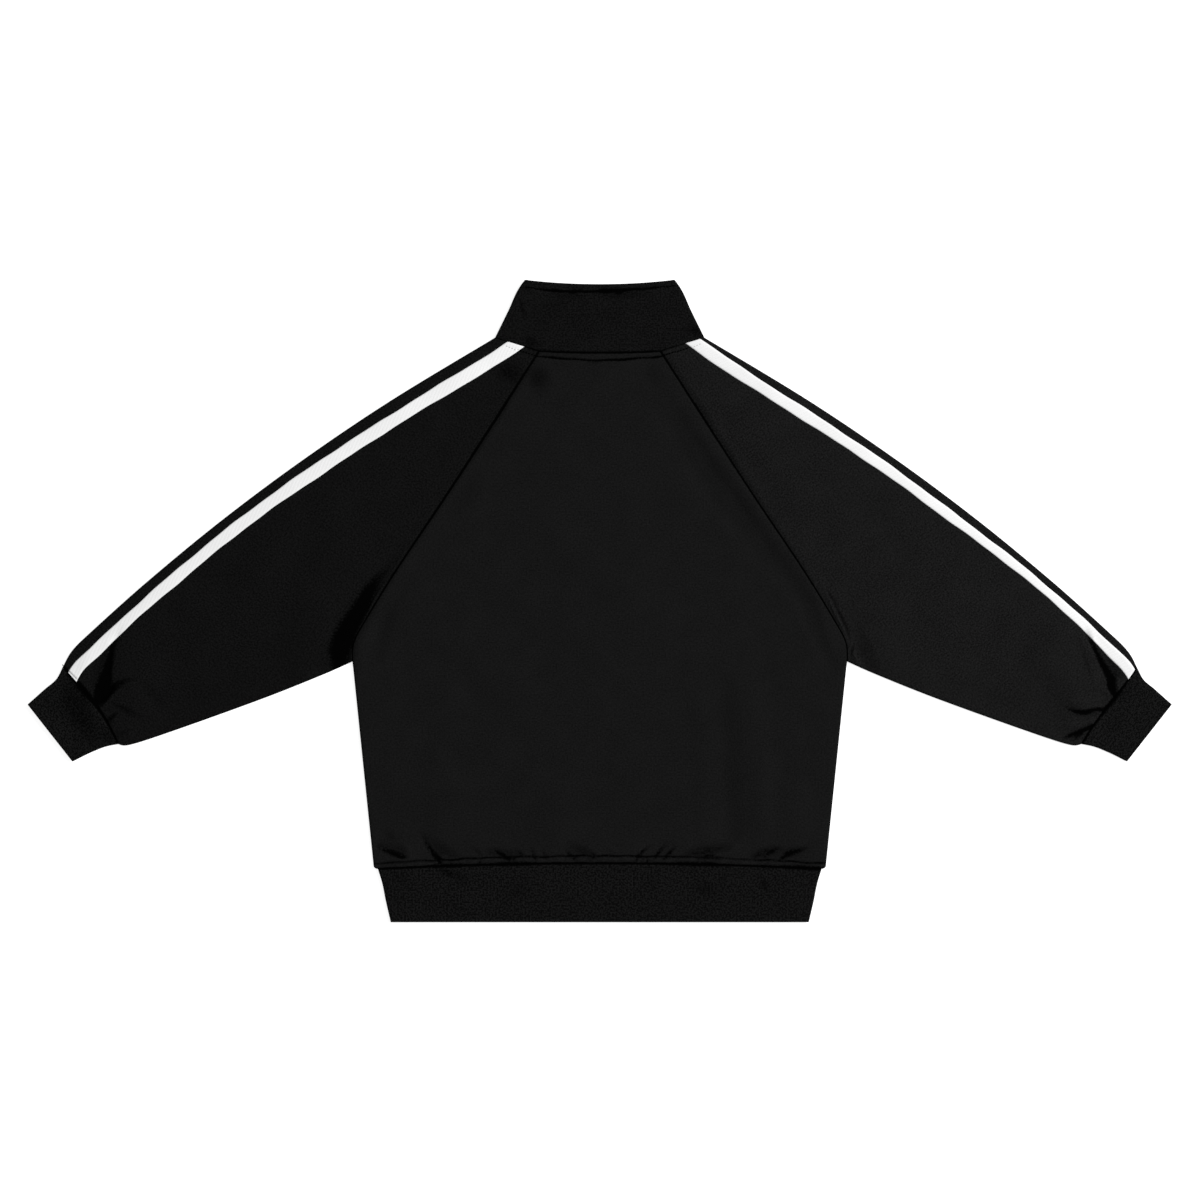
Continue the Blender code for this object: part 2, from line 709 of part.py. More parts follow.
def build_collar(material):
    """The stand collar: one doubled band, open at the front zip."""
    rows = []
    back_out = heading(BACK_RAGLAN_TOP, NECK_POINT)
    front_out = heading(FRONT_RAGLAN_TOP, NECK_POINT)
    top_out = heading((0.0, 0.0), (1.0, -2.0 * COLLAR_FRONT_RISE / COLLAR_SIDE[-1][1]))
    for share in COLLAR_ROWS:
        gap = 0.5 * SEAM_GAP if share == 0.0 else 0.0
        edge = (read_table(COLLAR_SIDE, share, 1), mix(NECK_POINT[1], COLLAR_TOP, share) + gap)
        above = heading((0.0, 0.0), mix(back_out, (1.0, 0.0), share))
        below = heading((0.0, 0.0), mix(front_out, top_out, share))
        row = []
        for column in COLLAR_BACK_COLUMNS:
            point = collar_point(column, share, BACK_RAGLAN_TOP, BACK_NECK_RISE, COLLAR_TOP_RISE)
            row.append(flat_station(move(point, (0.0, 1.0), gap)))
        inward = ((-above[0], -above[1]), (-below[0], -below[1]))
        row += fold_stations(edge, *inward, COLLAR_WALL)
        for column in COLLAR_FRONT_COLUMNS:
            point = collar_point(column, share, FRONT_RAGLAN_TOP, FRONT_NECK_RISE, COLLAR_FRONT_RISE)
            row.append(flat_station(move(point, (0.0, 1.0), gap), 180.0))
        rows.append(flipped(row[1:]) + row)
    return build_wall("collar", rows, Layers(COLLAR_INSIDE, COLLAR_WALL), material)


def build_hem_band(material):
    """The rib band round the hem, folded double and open at the front zip."""
    rows = []
    for share in HEM_ROWS:
        gap = 0.5 * SEAM_GAP if share == 0.0 else 0.0
        edge = read_table(HEM_SIDE, share, 1)
        row = []
        for column in range(BACK_HALF_COLUMNS):
            row.append(flat_station(((edge - EDGE_ROUND) * column / BACK_HALF_COLUMNS, HEM_FOOT)))
        row += fold_stations((edge, HEM_FOOT), (-1.0, 0.0), (-1.0, 0.0), RIB_WALL)
        row += [flat_station((x, HEM_FOOT), 180.0) for x in HEM_FRONT_COLUMNS]
        rise = [1.0 - share, gap]
        row = moved_row(row, (0.0, 1.0), lambda p, a: rise[0] * (hem_seam(p[0]) - HEM_FOOT) - rise[1])
        rows.append(flipped(row[1:]) + row)
    return build_wall("hem_band", rows, Layers(RIB_INSIDE, RIB_WALL), material)


def cuff_row(share, side):
    """Stations all round a cuff, a share of the way from its seam to its end."""
    top = mix(CUFF_SEAM_TOP, CUFF_END_TOP, share)
    foot = mix(CUFF_SEAM_FOOT, CUFF_END_FOOT, share)
    down = heading(top, foot)
    up = (-down[0], -down[1])
    top = move(top, down, read_table(CUFF_WAIST, share, 1))
    foot = move(foot, up, read_table(CUFF_WAIST, share, 2))
    span = math.dist(top, foot) - EDGE_ROUND
    row = fold_stations(top, down, down, RIB_WALL)
    for part in CUFF_SHARES:
        row.append(flat_station(move(top, down, mix(EDGE_ROUND, span, part)), 180.0))
    row += [edge_station(foot, up, 180.0 + angle, RIB_WALL) for angle in FOLD_ANGLES]
    for part in reversed(CUFF_SHARES):
        row.append(flat_station(move(top, down, mix(EDGE_ROUND, span, part))))
    gap = 0.5 * SEAM_GAP if share == 0.0 else 0.0
    fade = 1.0 - ease(share / 0.5)
    return moved_row(row, CUFF_AXIS, lambda p, a: fade * seam_bow(p, a, side) + gap)


def build_cuff(name, side, material):
    """A rib cuff, folded double: a flattened ring."""
    rows = [cuff_row(share, side) for share in CUFF_ROWS]
    layers = Layers(RIB_INSIDE, RIB_WALL)
    return build_wall(name, rows, layers, material, side=side, closed=True)


# ---- front zip -----------------------------------------------------------------------------

def zip_rows(foot, top, columns):
    """Rows up a strip of the zip, at the heights of the front's and the collar's rows."""
    edges = body_edges(front_raglan, FRONT_NECK_RISE)
    ups = [row[0][1] + arch(FRONT_EDGE, row[0][0], row[2]) for row in edges]
    neck = neck_line(FRONT_EDGE, FRONT_RAGLAN_TOP, FRONT_NECK_RISE)
    collar_top = COLLAR_TOP + arch(FRONT_EDGE, COLLAR_SIDE[-1][1], COLLAR_FRONT_RISE)
    ups += [mix(neck, collar_top, share) for share in COLLAR_ROWS[1:-1]]
    lifted = [up for up in sorted(ups) if max(foot, ZIP_FLAT_BELOW) < up < top]
    return [[flat_station((x, up), 180.0) for x in columns] for up in [foot] + lifted + [top]]


def build_zip_tape(name, side, material):
    """The woven tape behind one front edge."""
    inner_edge = 0.5 * CHAIN_WIDTH + SEAM_GAP
    columns = (inner_edge, ZIP_TAPE_MIDDLE, inner_edge + ZIP_TAPE_WIDTH)
    rows = zip_rows(HEM_FOOT + ZIP_BOX_LENGTH + 1.0, ZIP_TOP, columns)
    return build_wall(name, rows, ZipLayers(CLOTH + SEAM_GAP, ZIP_TAPE), material, side=side)


def build_zip_chain(material):
    """The closed teeth, as one strip from the box to the slider."""
    columns = (-0.5 * CHAIN_WIDTH, 0.5 * CHAIN_WIDTH)
    rows = zip_rows(HEM_FOOT + ZIP_BOX_LENGTH + 1.0, SLIDER_FOOT + CHAIN_IN_SLIDER, columns)
    layers = ZipLayers(CHAIN_MIDDLE - 0.5 * CHAIN_DEPTH, CHAIN_DEPTH)
    return build_wall("zip_chain", rows, layers, material)


def rectangle(half_width, foot, top, z):
    """Outline of a level rectangle across the centre line."""
    return [(-half_width, foot, z), (half_width, foot, z), (half_width, top, z), (-half_width, top, z)]


def block(mesh_faces, outline, direction):
    """Extrude an outline of 3-D points, in millimetres, along a direction."""
    verts = [mesh_faces.verts.new(metres(point)) for point in outline]
    face = mesh_faces.faces.new(verts)
    extruded = bmesh.ops.extrude_face_region(mesh_faces, geom=[face])
    moved = [item for item in extruded["geom"] if isinstance(item, bmesh.types.BMVert)]
    bmesh.ops.translate(mesh_faces, verts=moved, vec=metres(direction))


def block_object(name, outline, direction, material):
    """An object that holds one extruded outline."""
    mesh = bpy.data.meshes.new(name)
    solid = bmesh.new()
    block(solid, outline, direction)
    bmesh.ops.recalc_face_normals(solid, faces=solid.faces)
    solid.to_mesh(mesh)
    solid.free()
    return place_mesh(name, mesh, material)


def combine(target, tool, operation):
    """Join a tool to the target, or cut it away, and keep the tool out of sight."""
    modifier = target.modifiers.new(tool.name, "BOOLEAN")
    modifier.operation = operation
    modifier.object = tool
    tool.hide_render = True
    tool.display_type = "WIRE"


def plate_outline(z):
    """Outline of a slider plate: narrow at its foot and widest near its shoulders."""
    right = [(x, SLIDER_FOOT + up, z) for x, up in SLIDER_OUTLINE]
    return right + [(-x, y, z) for x, y, z in reversed(right)]


def build_slider(material):
    """The slider: two plates, the post between them and the bridge that holds the pull."""
    middle = FRONT_LIFT + CHAIN_MIDDLE
    channel = 0.5 * CHAIN_DEPTH + 0.5 * SEAM_GAP
    low_plate = middle - channel - SLIDER_PLATE
    high_plate = middle + channel
    plate = (0.0, 0.0, SLIDER_PLATE)
    slider = block_object("zip_slider", plate_outline(low_plate), plate, material)
    upper = block_object("slider_upper_plate", plate_outline(high_plate), plate, material)
    half, room, reach = SLIDER_POST
    post_outline = rectangle(half, SLIDER_FOOT + CHAIN_IN_SLIDER + room, SLIDER_FOOT + reach,
                             low_plate + SLIDER_OVERLAP)
    post_height = high_plate - low_plate
    post = block_object("slider_post", post_outline, (0.0, 0.0, post_height), material)
    profile = bridge_profile(low_plate + SLIDER_OVERLAP)
    bridge_outline = [(-BRIDGE_HALF_WIDTH, y, z) for y, z in profile]
    bridge_width = (2.0 * BRIDGE_HALF_WIDTH, 0.0, 0.0)
    bridge = block_object("slider_bridge", bridge_outline, bridge_width, material)
    for tool in (upper, post, bridge):
        combine(slider, tool, "UNION")


def bridge_profile(root):
    """Side view of the bridge: two feet and a bar under the plate, with room for the pull."""
    y, z = PULL_AXIS
    reach, bar = BRIDGE_REACH, BRIDGE_BAR
    along, deep = BRIDGE_CORNER
    crown = z - 0.5 * PULL_DEPTH - BRIDGE_ROOM - bar
    return [
        (y - reach, root),
        (y - reach, crown + deep),
        (y - reach + along, crown),
        (y + reach - along, crown),
        (y + reach, crown + deep),
        (y + reach, root),
        (y + reach - bar, root),
        (y + reach - bar, crown + bar),
        (y - reach + bar, crown + bar),
        (y - reach + bar, root),
    ]


def build_pull(material):
    """The pull tab, folded down against the zip; its origin is on the axis that it turns on."""
    hinge = bpy.data.objects.new("pull_hinge", None)
    hinge.location = metres((0.0, *PULL_AXIS))
    hinge.parent = jacket
    bpy.context.scene.collection.objects.link(hinge)
    foot = -0.5 * PULL_DEPTH
    tip = 0.5 * PULL_WIDTH
    half = [
        (PULL_RING, PULL_HEAD),
        (PULL_RING, PULL_NECK[0]),
        (tip, PULL_NECK[1]),
        (tip, PULL_CORNER - PULL_LENGTH),
        (tip - PULL_CORNER, -PULL_LENGTH),
    ]
    outline = [(x, y, foot) for x, y in half] + [(-x, y, foot) for x, y in reversed(half)]
    pull = block_object("zip_pull", outline, (0.0, 0.0, PULL_DEPTH), material)
    eye_outline = rectangle(*PULL_EYE, -PULL_DEPTH)
    eye = block_object("pull_eye", eye_outline, (0.0, 0.0, 2.0 * PULL_DEPTH), material)
    for obj in (pull, eye):
        obj.parent = hinge
    combine(pull, eye, "DIFFERENCE")


def build_zip_box(material):
    """The box that holds both ends of the chain at the hem."""
    foot = HEM_FOOT + ZIP_BOX_INSET
    low = CHAIN_MIDDLE - 0.5 * ZIP_BOX_DEPTH - ZIP_BOX_DROP
    outline = rectangle(0.5 * CHAIN_WIDTH, foot, foot + ZIP_BOX_LENGTH, low)
    block_object("zip_box", outline, (0.0, 0.0, ZIP_BOX_DEPTH), material)


# ---- materials and assembly ----------------------------------------------------------------

def make_material(name, colour, roughness, metallic=0.0):
    """A plain Principled material."""
    material = bpy.data.materials.new(name)
    material.use_nodes = True
    shader = material.node_tree.nodes["Principled BSDF"]
    shader.inputs["Base Color"].default_value = (*colour, 1.0)
    shader.inputs["Roughness"].default_value = roughness
    shader.inputs["Metallic"].default_value = metallic
    material.diffuse_color = (*colour, 1.0)
    return material


for leftover in list(bpy.data.objects):
    bpy.data.objects.remove(leftover)

jacket = bpy.data.objects.new("jacket_origin", None)
bpy.context.scene.collection.objects.link(jacket)

overarm = PlanCurve(OVERARM)
back_raglan = PlanCurve(BACK_RAGLAN)
front_raglan = PlanCurve(FRONT_RAGLAN)
underarm = PlanCurve(UNDERARM)
cloth_layers = Layers(BACK_INSIDE, CLOTH, folds=True)

black_knit = make_material("black_knit", (0.010, 0.010, 0.011), 0.85)
black_rib = make_material("black_rib", (0.012, 0.012, 0.013), 0.9)
white_tape = make_material("white_tape", (0.86, 0.86, 0.87), 0.7)
zip_tape = make_material("zip_tape", (0.012, 0.012, 0.013), 0.8)
zip_teeth = make_material("zip_teeth", (0.02, 0.02, 0.022), 0.45)
zip_metal = make_material("zip_metal", (0.32, 0.32, 0.33), 0.35, metallic=1.0)

build_back(black_knit)
build_collar(black_knit)
build_hem_band(black_rib)
for side, hand in ((-1, "left"), (1, "right")):
    build_front("front_" + hand, side, black_knit)
    build_sleeve("sleeve_" + hand, side, black_knit)
    build_cuff("cuff_" + hand, side, black_rib)
    build_stripe("stripe_" + hand, side, white_tape)
    build_zip_tape("zip_tape_" + hand, side, zip_tape)
build_zip_chain(zip_teeth)
build_zip_box(zip_teeth)
build_slider(zip_metal)
build_pull(zip_metal)
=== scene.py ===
"""Looks of a black track jacket that lies flat on its front, seen from above its back.

Sizes and tables are in millimetres, x across the jacket and y up its back, and metres are made
where a mesh is filled. Each cloth piece is a thin shell between an outer and an inner grid of
points. Its upper layer carries the folds, which the tables below place.
"""
import functools
import math

import bpy
import numpy as np
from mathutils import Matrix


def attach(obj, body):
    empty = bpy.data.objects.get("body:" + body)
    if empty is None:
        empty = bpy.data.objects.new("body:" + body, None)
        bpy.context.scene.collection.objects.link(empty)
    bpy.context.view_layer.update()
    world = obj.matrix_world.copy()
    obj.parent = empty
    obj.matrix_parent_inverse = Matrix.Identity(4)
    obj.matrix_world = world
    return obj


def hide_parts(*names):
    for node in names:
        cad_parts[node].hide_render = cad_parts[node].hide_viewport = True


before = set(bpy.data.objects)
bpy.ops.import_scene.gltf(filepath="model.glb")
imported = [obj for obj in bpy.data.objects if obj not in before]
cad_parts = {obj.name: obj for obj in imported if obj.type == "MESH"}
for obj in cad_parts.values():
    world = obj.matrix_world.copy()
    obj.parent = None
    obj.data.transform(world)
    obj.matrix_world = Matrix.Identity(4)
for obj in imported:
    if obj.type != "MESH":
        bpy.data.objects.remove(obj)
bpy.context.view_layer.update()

MM = 0.001
INWARD, UP, DOWN = (-1.0, 0.0), (0.0, 1.0), (0.0, -1.0)

# ---- camera: straight down, as in the photograph ---------------------------------------------

PIXELS_ACROSS = 1200
MM_PER_PIXEL = 1.22
CAMERA_PLACE = (0.0003, 0.0012, 5.0)  # metres; just off the middle of the jacket's outline
SENSOR = 36.0

camera_data = bpy.data.cameras.new("camera")
camera_data.sensor_width = SENSOR
camera_data.lens = SENSOR * CAMERA_PLACE[2] / (PIXELS_ACROSS * MM_PER_PIXEL * MM)
camera_data.clip_end = 100.0
camera = bpy.data.objects.new("camera", camera_data)
camera.location = CAMERA_PLACE
bpy.context.scene.collection.objects.link(camera)
bpy.context.scene.camera = camera

# ---- sizes -----------------------------------------------------------------------------------

SIDES = ((-1, "left"), (1, "right"))

CLOTH = 1.5                          # thickness of the walls
RIB_WALL = 2.6
COLLAR_WALL = 2.8
HALF_GAP = 0.03                      # half of what parts two pieces that are sewn together
BACK_INSIDE = 3.5                    # height of an upper wall's inner face
RIB_INSIDE = 3.5
COLLAR_INSIDE = 3.6
EDGE_ROUND = 3.0                     # how far in from an edge its wall starts to turn over

NECK_POINT = (127.6, 321.2)
BACK_RAGLAN_TOP = (74.0, 304.6)
BACK_NECK_RISE = -2.2
FRONT_RAGLAN_TOP = (92.0, 288.0)
FRONT_NECK_RISE = -26.4
ARMPIT = (301.5, -73.8)
HEM_SEAM_SIDE = (275.4, -326.6)
HEM_SEAM_RISE = 7.2
HEM_CORNER = 4.0
HEM_FOOT = -391.5
FRONT_EDGE = 5.0
COLLAR_TOP = 391.5
COLLAR_TOP_RISE = -5.4
COLLAR_FRONT_RISE = -51.5
CUFF_SEAM_TOP = (654.5, -80.0)
CUFF_SEAM_FOOT = (587.4, -174.5)
CUFF_END_TOP = (697.4, -126.0)
CUFF_END_FOOT = (642.6, -195.7)
CUFF_AXIS = (0.8155, -0.5788)

STRIPE_TAPE = 0.9
STRIPE_SELVEDGE = 0.12               # thickness at its edges
STRIPE_OFF_CLOTH = 0.04
ZIP_TAPE = 1.0
ZIP_TAPE_WIDTH = 13.0
TAPE_GAP = 0.3                       # from a tape to the chain and to the front
ZIP_SINGLE = 16.0                    # doubled walls are single this near the centre line
CHAIN_WIDTH = 4.6
CHAIN_MIDDLE = 2.3
ZIP_BOX_LENGTH = 5.6
SLIDER_FOOT = 325.0
CHAIN_IN_SLIDER = 8.0
ZIP_TOP = 338.0
BODY_TURNED = 6.0                    # below the armpit, the walls turn over within this
SLEEVE_TURNED = 8.0
SLEEVE_FROM_NECK = 0.12
SLEEVE_AT_ARMPIT = 0.59              # share of the sleeve's length where the armpit is
SLEEVE_BOWED = 0.94                  # and from where its rows follow the cuff seam's bow

# the front rises over the slider and its pull tab, and the back over the front; the pairs are
# where a slope starts and how far it runs, across and up the jacket
FRONT_LIFT = 1.9
FRONT_LIFT_ACROSS = (9.0, 38.0)
FRONT_LIFT_UP = (232.0, 62.0)
BACK_LIFT = 2.7
BACK_LIFT_ACROSS = (14.0, 62.0)
BACK_LIFT_UP = (205.0, 100.0)
BACK_LIFT_DOWN = (344.0, 44.0)       # over the collar it sinks again
BACK_LIFT_LOST = 0.7                 # by this share
LAYER_CLEARANCE = 0.25
COLLAR_UNDER = (132.0, 240.0)        # the collar's front lies under the back: out to, up from

# the turned edge above the hem seam
RIDGE_HEIGHT = 2.5
RIDGE_REACH = 8.4                    # over the seam, at the centre line
RIDGE_TAPER = 2.4                    # and less at the sides
RIDGE_LINE_WIDTH = 1.1               # of the stitched-in line over it
RIDGE_LINE_DEPTH = 1.0

OVERARM = [NECK_POINT, (254.4, 244.6), (363.0, 171.4), (461.2, 98.2), (550.2, 25.0),
           (618.5, -36.0), (643.2, -60.4), CUFF_SEAM_TOP]
BACK_RAGLAN = [BACK_RAGLAN_TOP, (176.8, 144.6), (248.0, 38.0), (288.5, -28.0), (300.5, -52.0),
               ARMPIT]
FRONT_RAGLAN = [FRONT_RAGLAN_TOP, (172.0, 150.0), (243.0, 40.0), (287.0, -28.0),
                (300.0, -52.0), ARMPIT]
UNDERARM = [ARMPIT, (337.2, -89.7), (410.7, -119.0), (518.9, -158.0), (572.0, -175.2),
            CUFF_SEAM_FOOT]

# share of the way down, out
HEM_SIDE = [(0.0, 270.6), (0.28, 265.2), (0.6, 261.0), (1.0, 254.9)]
# share of the way up, out
COLLAR_SIDE = [(0.0, NECK_POINT[0]), (0.45, 112.0), (0.9, 96.6), (1.0, 91.4)]
# out at the neck, out at the top edge
COLLAR_BACK = [(0.0, 0.0), (74.0, 55.0), (108.0, 79.0), (124.6, 88.4)]
COLLAR_FRONT = [(5.0, 5.0), (18.0, 18.0), (33.0, 31.0), (72.0, 58.0), (108.0, 80.0),
                (124.6, 88.4)]
# share of the way out, in at the top, in at the foot
CUFF_WAIST = [(0.0, 0.0, 0.0), (0.22, 4.4, 2.4), (0.55, 2.6, 2.4), (1.0, 0.0, 0.0)]
# at the middle of the seam, more at its foot: left cuff, right cuff
CUFF_SEAM_BOW = {-1: (-5.2, -1.6), 1: (-0.4, -3.0)}
# half width of the seam's groove and its painted shade, from top to foot: left cuff, right cuff
CUFF_GROOVE = {-1: (2.0, 3.6, 4.6, 4.6, 3.4, 2.6, 2.2, 1.9, 1.6),
               1: (1.5, 1.7, 1.9, 3.4, 3.6, 2.2, 1.7, 1.9, 1.4)}
# share of the sleeve's length, then start and end in from the overarm fold, left and right
STRIPE = [(0.0, 16.8, 37.5, 4.9, 24.5), (0.1, 15.5, 33.6, 9.2, 25.3),
          (0.25, 14.8, 30.6, 10.6, 25.0), (0.4, 12.6, 28.6, 9.9, 23.0),
          (0.55, 11.4, 25.8, 10.4, 22.8), (0.75, 12.3, 26.3, 8.3, 19.0),
          (0.88, 13.4, 26.6, 8.4, 19.6), (0.95, 13.6, 28.2, 8.4, 22.4), (1.0, 8.9, 24.5, 4.6, 18.4)]

# ---- how finely the shells are divided ---------------------------------------------------------

NEAR_SEAM = (0.0, 0.5, 1.0, 1.6, 2.3, 3.2, 4.4, 6.0)
NECK_ROWS = (7.2, 8.2, 9.1, 10.0, 10.9, 11.9, 13.2)
BODY_ROW_STEP = 4.3
SLEEVE_ROW_STEP = 3.4
CUFF_ROW_STEP = 2.4
BACK_STEP = 2.8
SLEEVE_COLUMNS = 80
CROWDING = 1.3                       # columns stand closer near the seam
SLEEVE_UNDER_COLUMNS = 16
FRONT_COLUMNS = 24
BACK_COLLAR_COLUMNS = 60
HEM_COLUMNS = 84
CUFF_COLUMNS = 30
# x at the neck seam
COLLAR_FRONT_COLUMNS = (121.0, 108.0, 92.0, *np.linspace(88.0, 20.0, 17), 18.0, ZIP_SINGLE, 11.0,
                        FRONT_EDGE)
HEM_ZONES = ((36.0, 1.7), (14.0, 0.6))  # rows stand closer this far over the hem seam: zone, step
GATHERED = 74.0                      # and this far from a cuff
GATHERED_STEP = 1.6
TOPSTITCH_ROWS = (5.4, 11.4, 0.75)   # and at the collar's topstitch: from, to, step
FOLD_ANGLES = tuple(range(0, 181, 15))
SEAM_ANGLES = tuple(range(0, 91, 15))
STRIPE_SHARES = (0.0, 0.04, 0.12, 0.35, 0.65, 0.88, 0.96, 1.0)


# ---- small helpers ---------------------------------------------------------------------------

def mix(a, b, share):
    """The number, or the plan point, a share of the way from a to b."""
    if isinstance(a, tuple):
        return tuple(mix(p, q, share) for p, q in zip(a, b))
    return a + (b - a) * share


def ease(value):
    """0 below 0, 1 above 1, and a soft rise between."""
    held = np.clip(value, 0.0, 1.0)
    return held * held * (3.0 - 2.0 * held)


def slope(value, start_and_run):
    """0 up to a start, 1 past the run that follows it, and a soft rise between."""
    start, run = start_and_run
    return ease((value - start) / run)


def read_table(table, key, column):
    """A column of a table, read between its rows at the given key or keys."""
    return np.interp(key, [row[0] for row in table], [row[column] for row in table])


def smooth_table(table, key, column):
    """A column of a table, read on a smooth curve through its rows."""
    keys = [row[0] for row in table]
    values = [row[column] for row in table]
    slopes = np.gradient(values, keys)
    index = int(np.clip(np.searchsorted(keys, key) - 1, 0, len(keys) - 2))
    run = keys[index + 1] - keys[index]
    t = (key - keys[index]) / run
    return float(
        (2 * t ** 3 - 3 * t ** 2 + 1) * values[index]
        + (t ** 3 - 2 * t ** 2 + t) * run * slopes[index]
        + (3 * t ** 2 - 2 * t ** 3) * values[index + 1]
        + (t ** 3 - t ** 2) * run * slopes[index + 1]
    )


def move(point, direction, distance):
    """A plan point moved along a unit direction."""
    return (point[0] + direction[0] * distance, point[1] + direction[1] * distance)


def heading(start, end):
    """Unit plan direction from one point to another."""
    run = math.dist(start, end)
    return ((end[0] - start[0]) / run, (end[1] - start[1]) / run)


def reverse(direction):
    """The opposite direction."""
    return (-direction[0], -direction[1])


def arch(x, half_width, rise):
    """Height of a shallow arch over the line between its ends."""
    return rise * (1.0 - (x / half_width) ** 2)


class PlanCurve:
    """A smooth line through a few plan points, read by the share of its length."""

    def __init__(self, knots):
        padded = [knots[0]] + list(knots) + [knots[-1]]
        steps = np.arange(16) / 16.0
        points = []
        for index in range(len(knots) - 1):
            four = np.array(padded[index:index + 4])
            t = steps[:, None]
            points.append(
                (-0.5 * t + t * t - 0.5 * t ** 3) * four[0]
                + (1.0 - 2.5 * t * t + 1.5 * t ** 3) * four[1]
                + (0.5 * t + 2.0 * t * t - 1.5 * t ** 3) * four[2]
                + (-0.5 * t * t + 0.5 * t ** 3) * four[3]
            )
        self.points = np.vstack(points + [np.array([knots[-1]])])
        steps = np.hypot(*np.diff(self.points, axis=0).T)
        self.lengths = np.concatenate([[0.0], np.cumsum(steps)])
        self.length = self.lengths[-1]

    def at(self, share):
        """The point a share of the way along."""
        goal = share * self.length
        return tuple(float(np.interp(goal, self.lengths, self.points[:, a])) for a in (0, 1))

    def beside(self, share, offset):
        """The point beside it, offset to the outer side of a curve that runs down."""
        along = heading(self.at(max(share - 0.01, 0.0)), self.at(min(share + 0.01, 1.0)))
        return move(self.at(share), (-along[1], along[0]), offset)


def graded(length, step, start=True, end=True, fine=()):
    """Shares of a length in even steps, closer towards each end that has a seam."""
    head = list(NEAR_SEAM) + list(fine) if start else [0.0]
    tail = [length - d for d in reversed(NEAR_SEAM)] if end else [length]
    first, last = head[-1], tail[0]
    count = max(int(round((last - first) / step)), 1)
    middle = [first + (last - first) * i / count for i in range(1, count)]
    return [d / length for d in head + middle + tail]


overarm = PlanCurve(OVERARM)
back_raglan = PlanCurve(BACK_RAGLAN)
front_raglan = PlanCurve(FRONT_RAGLAN)
underarm = PlanCurve(UNDERARM)


def hem_seam(x):
    """Height up the jacket of the seam between the body and the hem band."""
    return HEM_SEAM_SIDE[1] + arch(x, HEM_SEAM_SIDE[0], HEM_SEAM_RISE)


def neck_line(x, raglan_top, rise):
    """Height up the jacket of the neck seam: an arch, then straight to the neck point."""
    if x <= raglan_top[0]:
        return raglan_top[1] + arch(x, raglan_top[0], rise)
    share = (x - raglan_top[0]) / (NECK_POINT[0] - raglan_top[0])
    return mix(raglan_top[1], NECK_POINT[1], share)


# ---- folds -----------------------------------------------------------------------------------
# Each fold is a kind, a path of nodes, and how dark the painted shade at its bottom is, where that
# is given. A node is x, y, height, width to the left of the path and to its right, or one width for
# both. Heights below zero are troughs. A round fold has a soft top, a sharp one a crisp edge, and a
# deep one a flat floor. Painted shade past 1 widens the black part.

ROUND, SHARP, DEEP = 0, 1, 2
SHARPNESS = 1.6
DEEP_FLOOR = 0.35                    # share of a deep fold's width that is flat
# a trough narrower than the wide width gets painted shade, and full shade at the narrow width
NARROW_TROUGH, WIDE_TROUGH = 12.0, 22.0
TROUGH_SHADE = 0.3                   # painted shade of a narrow trough with none given, for each mm


def line(kind, x0, y0, x1, y1, height, width, shade=None, tip=0.35):
    """A straight fold that fades at both ends."""
    nodes = []
    for share, part in ((0.0, tip), (0.3, 1.0), (0.7, 1.0), (1.0, tip)):
        nodes.append((mix(x0, x1, share), mix(y0, y1, share), height * part, width))
    return (kind, nodes) if shade is None else (kind, nodes, shade)


def nearest_on(nodes, x, y):
    """Distance from points to a path of nodes, and its height and width at the nearest place."""
    best = np.full(x.shape, np.inf)
    height, width = np.zeros_like(x), np.ones_like(x)
    for a, b in zip(nodes, nodes[1:]):
        from_x, from_y = x - a[0], y - a[1]
        run_x, run_y = b[0] - a[0], b[1] - a[1]
        run = max(run_x ** 2 + run_y ** 2, 1e-9)
        share = np.clip((from_x * run_x + from_y * run_y) / run, 0.0, 1.0)
        away = np.hypot(from_x - share * run_x, from_y - share * run_y)
        left = run_x * from_y - run_y * from_x > 0.0
        side = np.where(left, mix(a[3], b[3], share), mix(a[4], b[4], share))
        closer = away < best
        best = np.where(closer, away, best)
        height = np.where(closer, mix(a[2], b[2], share), height)
        width = np.where(closer, side, width)
    return best, height, width


def fold_field(x, y, folds):
    """Height of the folds at plan points, and how much shade is painted there in their troughs."""
    total = np.zeros_like(x)
    painted_shade = np.zeros_like(x)
    for kind, nodes, *shade in folds:
        nodes = np.array([node if len(node) == 5 else node + node[3:] for node in nodes])
        low, high = nodes.min(axis=0), nodes.max(axis=0)
        reach = max(high[3:])
        near = (x > low[0] - reach) & (x < high[0] + reach)
        near &= (y > low[1] - reach) & (y < high[1] + reach)
        if not near.any():
            continue
        away, height, width = nearest_on(nodes, x[near], y[near])
        q = np.clip(away / width, 0.0, 1.0)
        shape = (1.0 - q * q) ** 2
        if kind == SHARP:
            shape = (1.0 - q) ** SHARPNESS
        if kind == DEEP:
            shape = 1.0 - slope(q, (DEEP_FLOOR, 1.0 - DEEP_FLOOR))
        total[near] += height * shape
        # painted shade: the darkness given for a fold, or else a darkness that grows with a narrow
        # trough's depth
        if shade:
            painted_shade[near] += shade[0] * shape * np.abs(height) / np.abs(nodes[:, 2]).max()
        else:
            narrow = np.clip((WIDE_TROUGH - width) / (WIDE_TROUGH - NARROW_TROUGH), 0.0, 1.0)
            painted_shade[near] += TROUGH_SHADE * np.clip(-height, 0.0, None) * shape * narrow
    return total, np.clip(painted_shade, 0.0, 1.0)


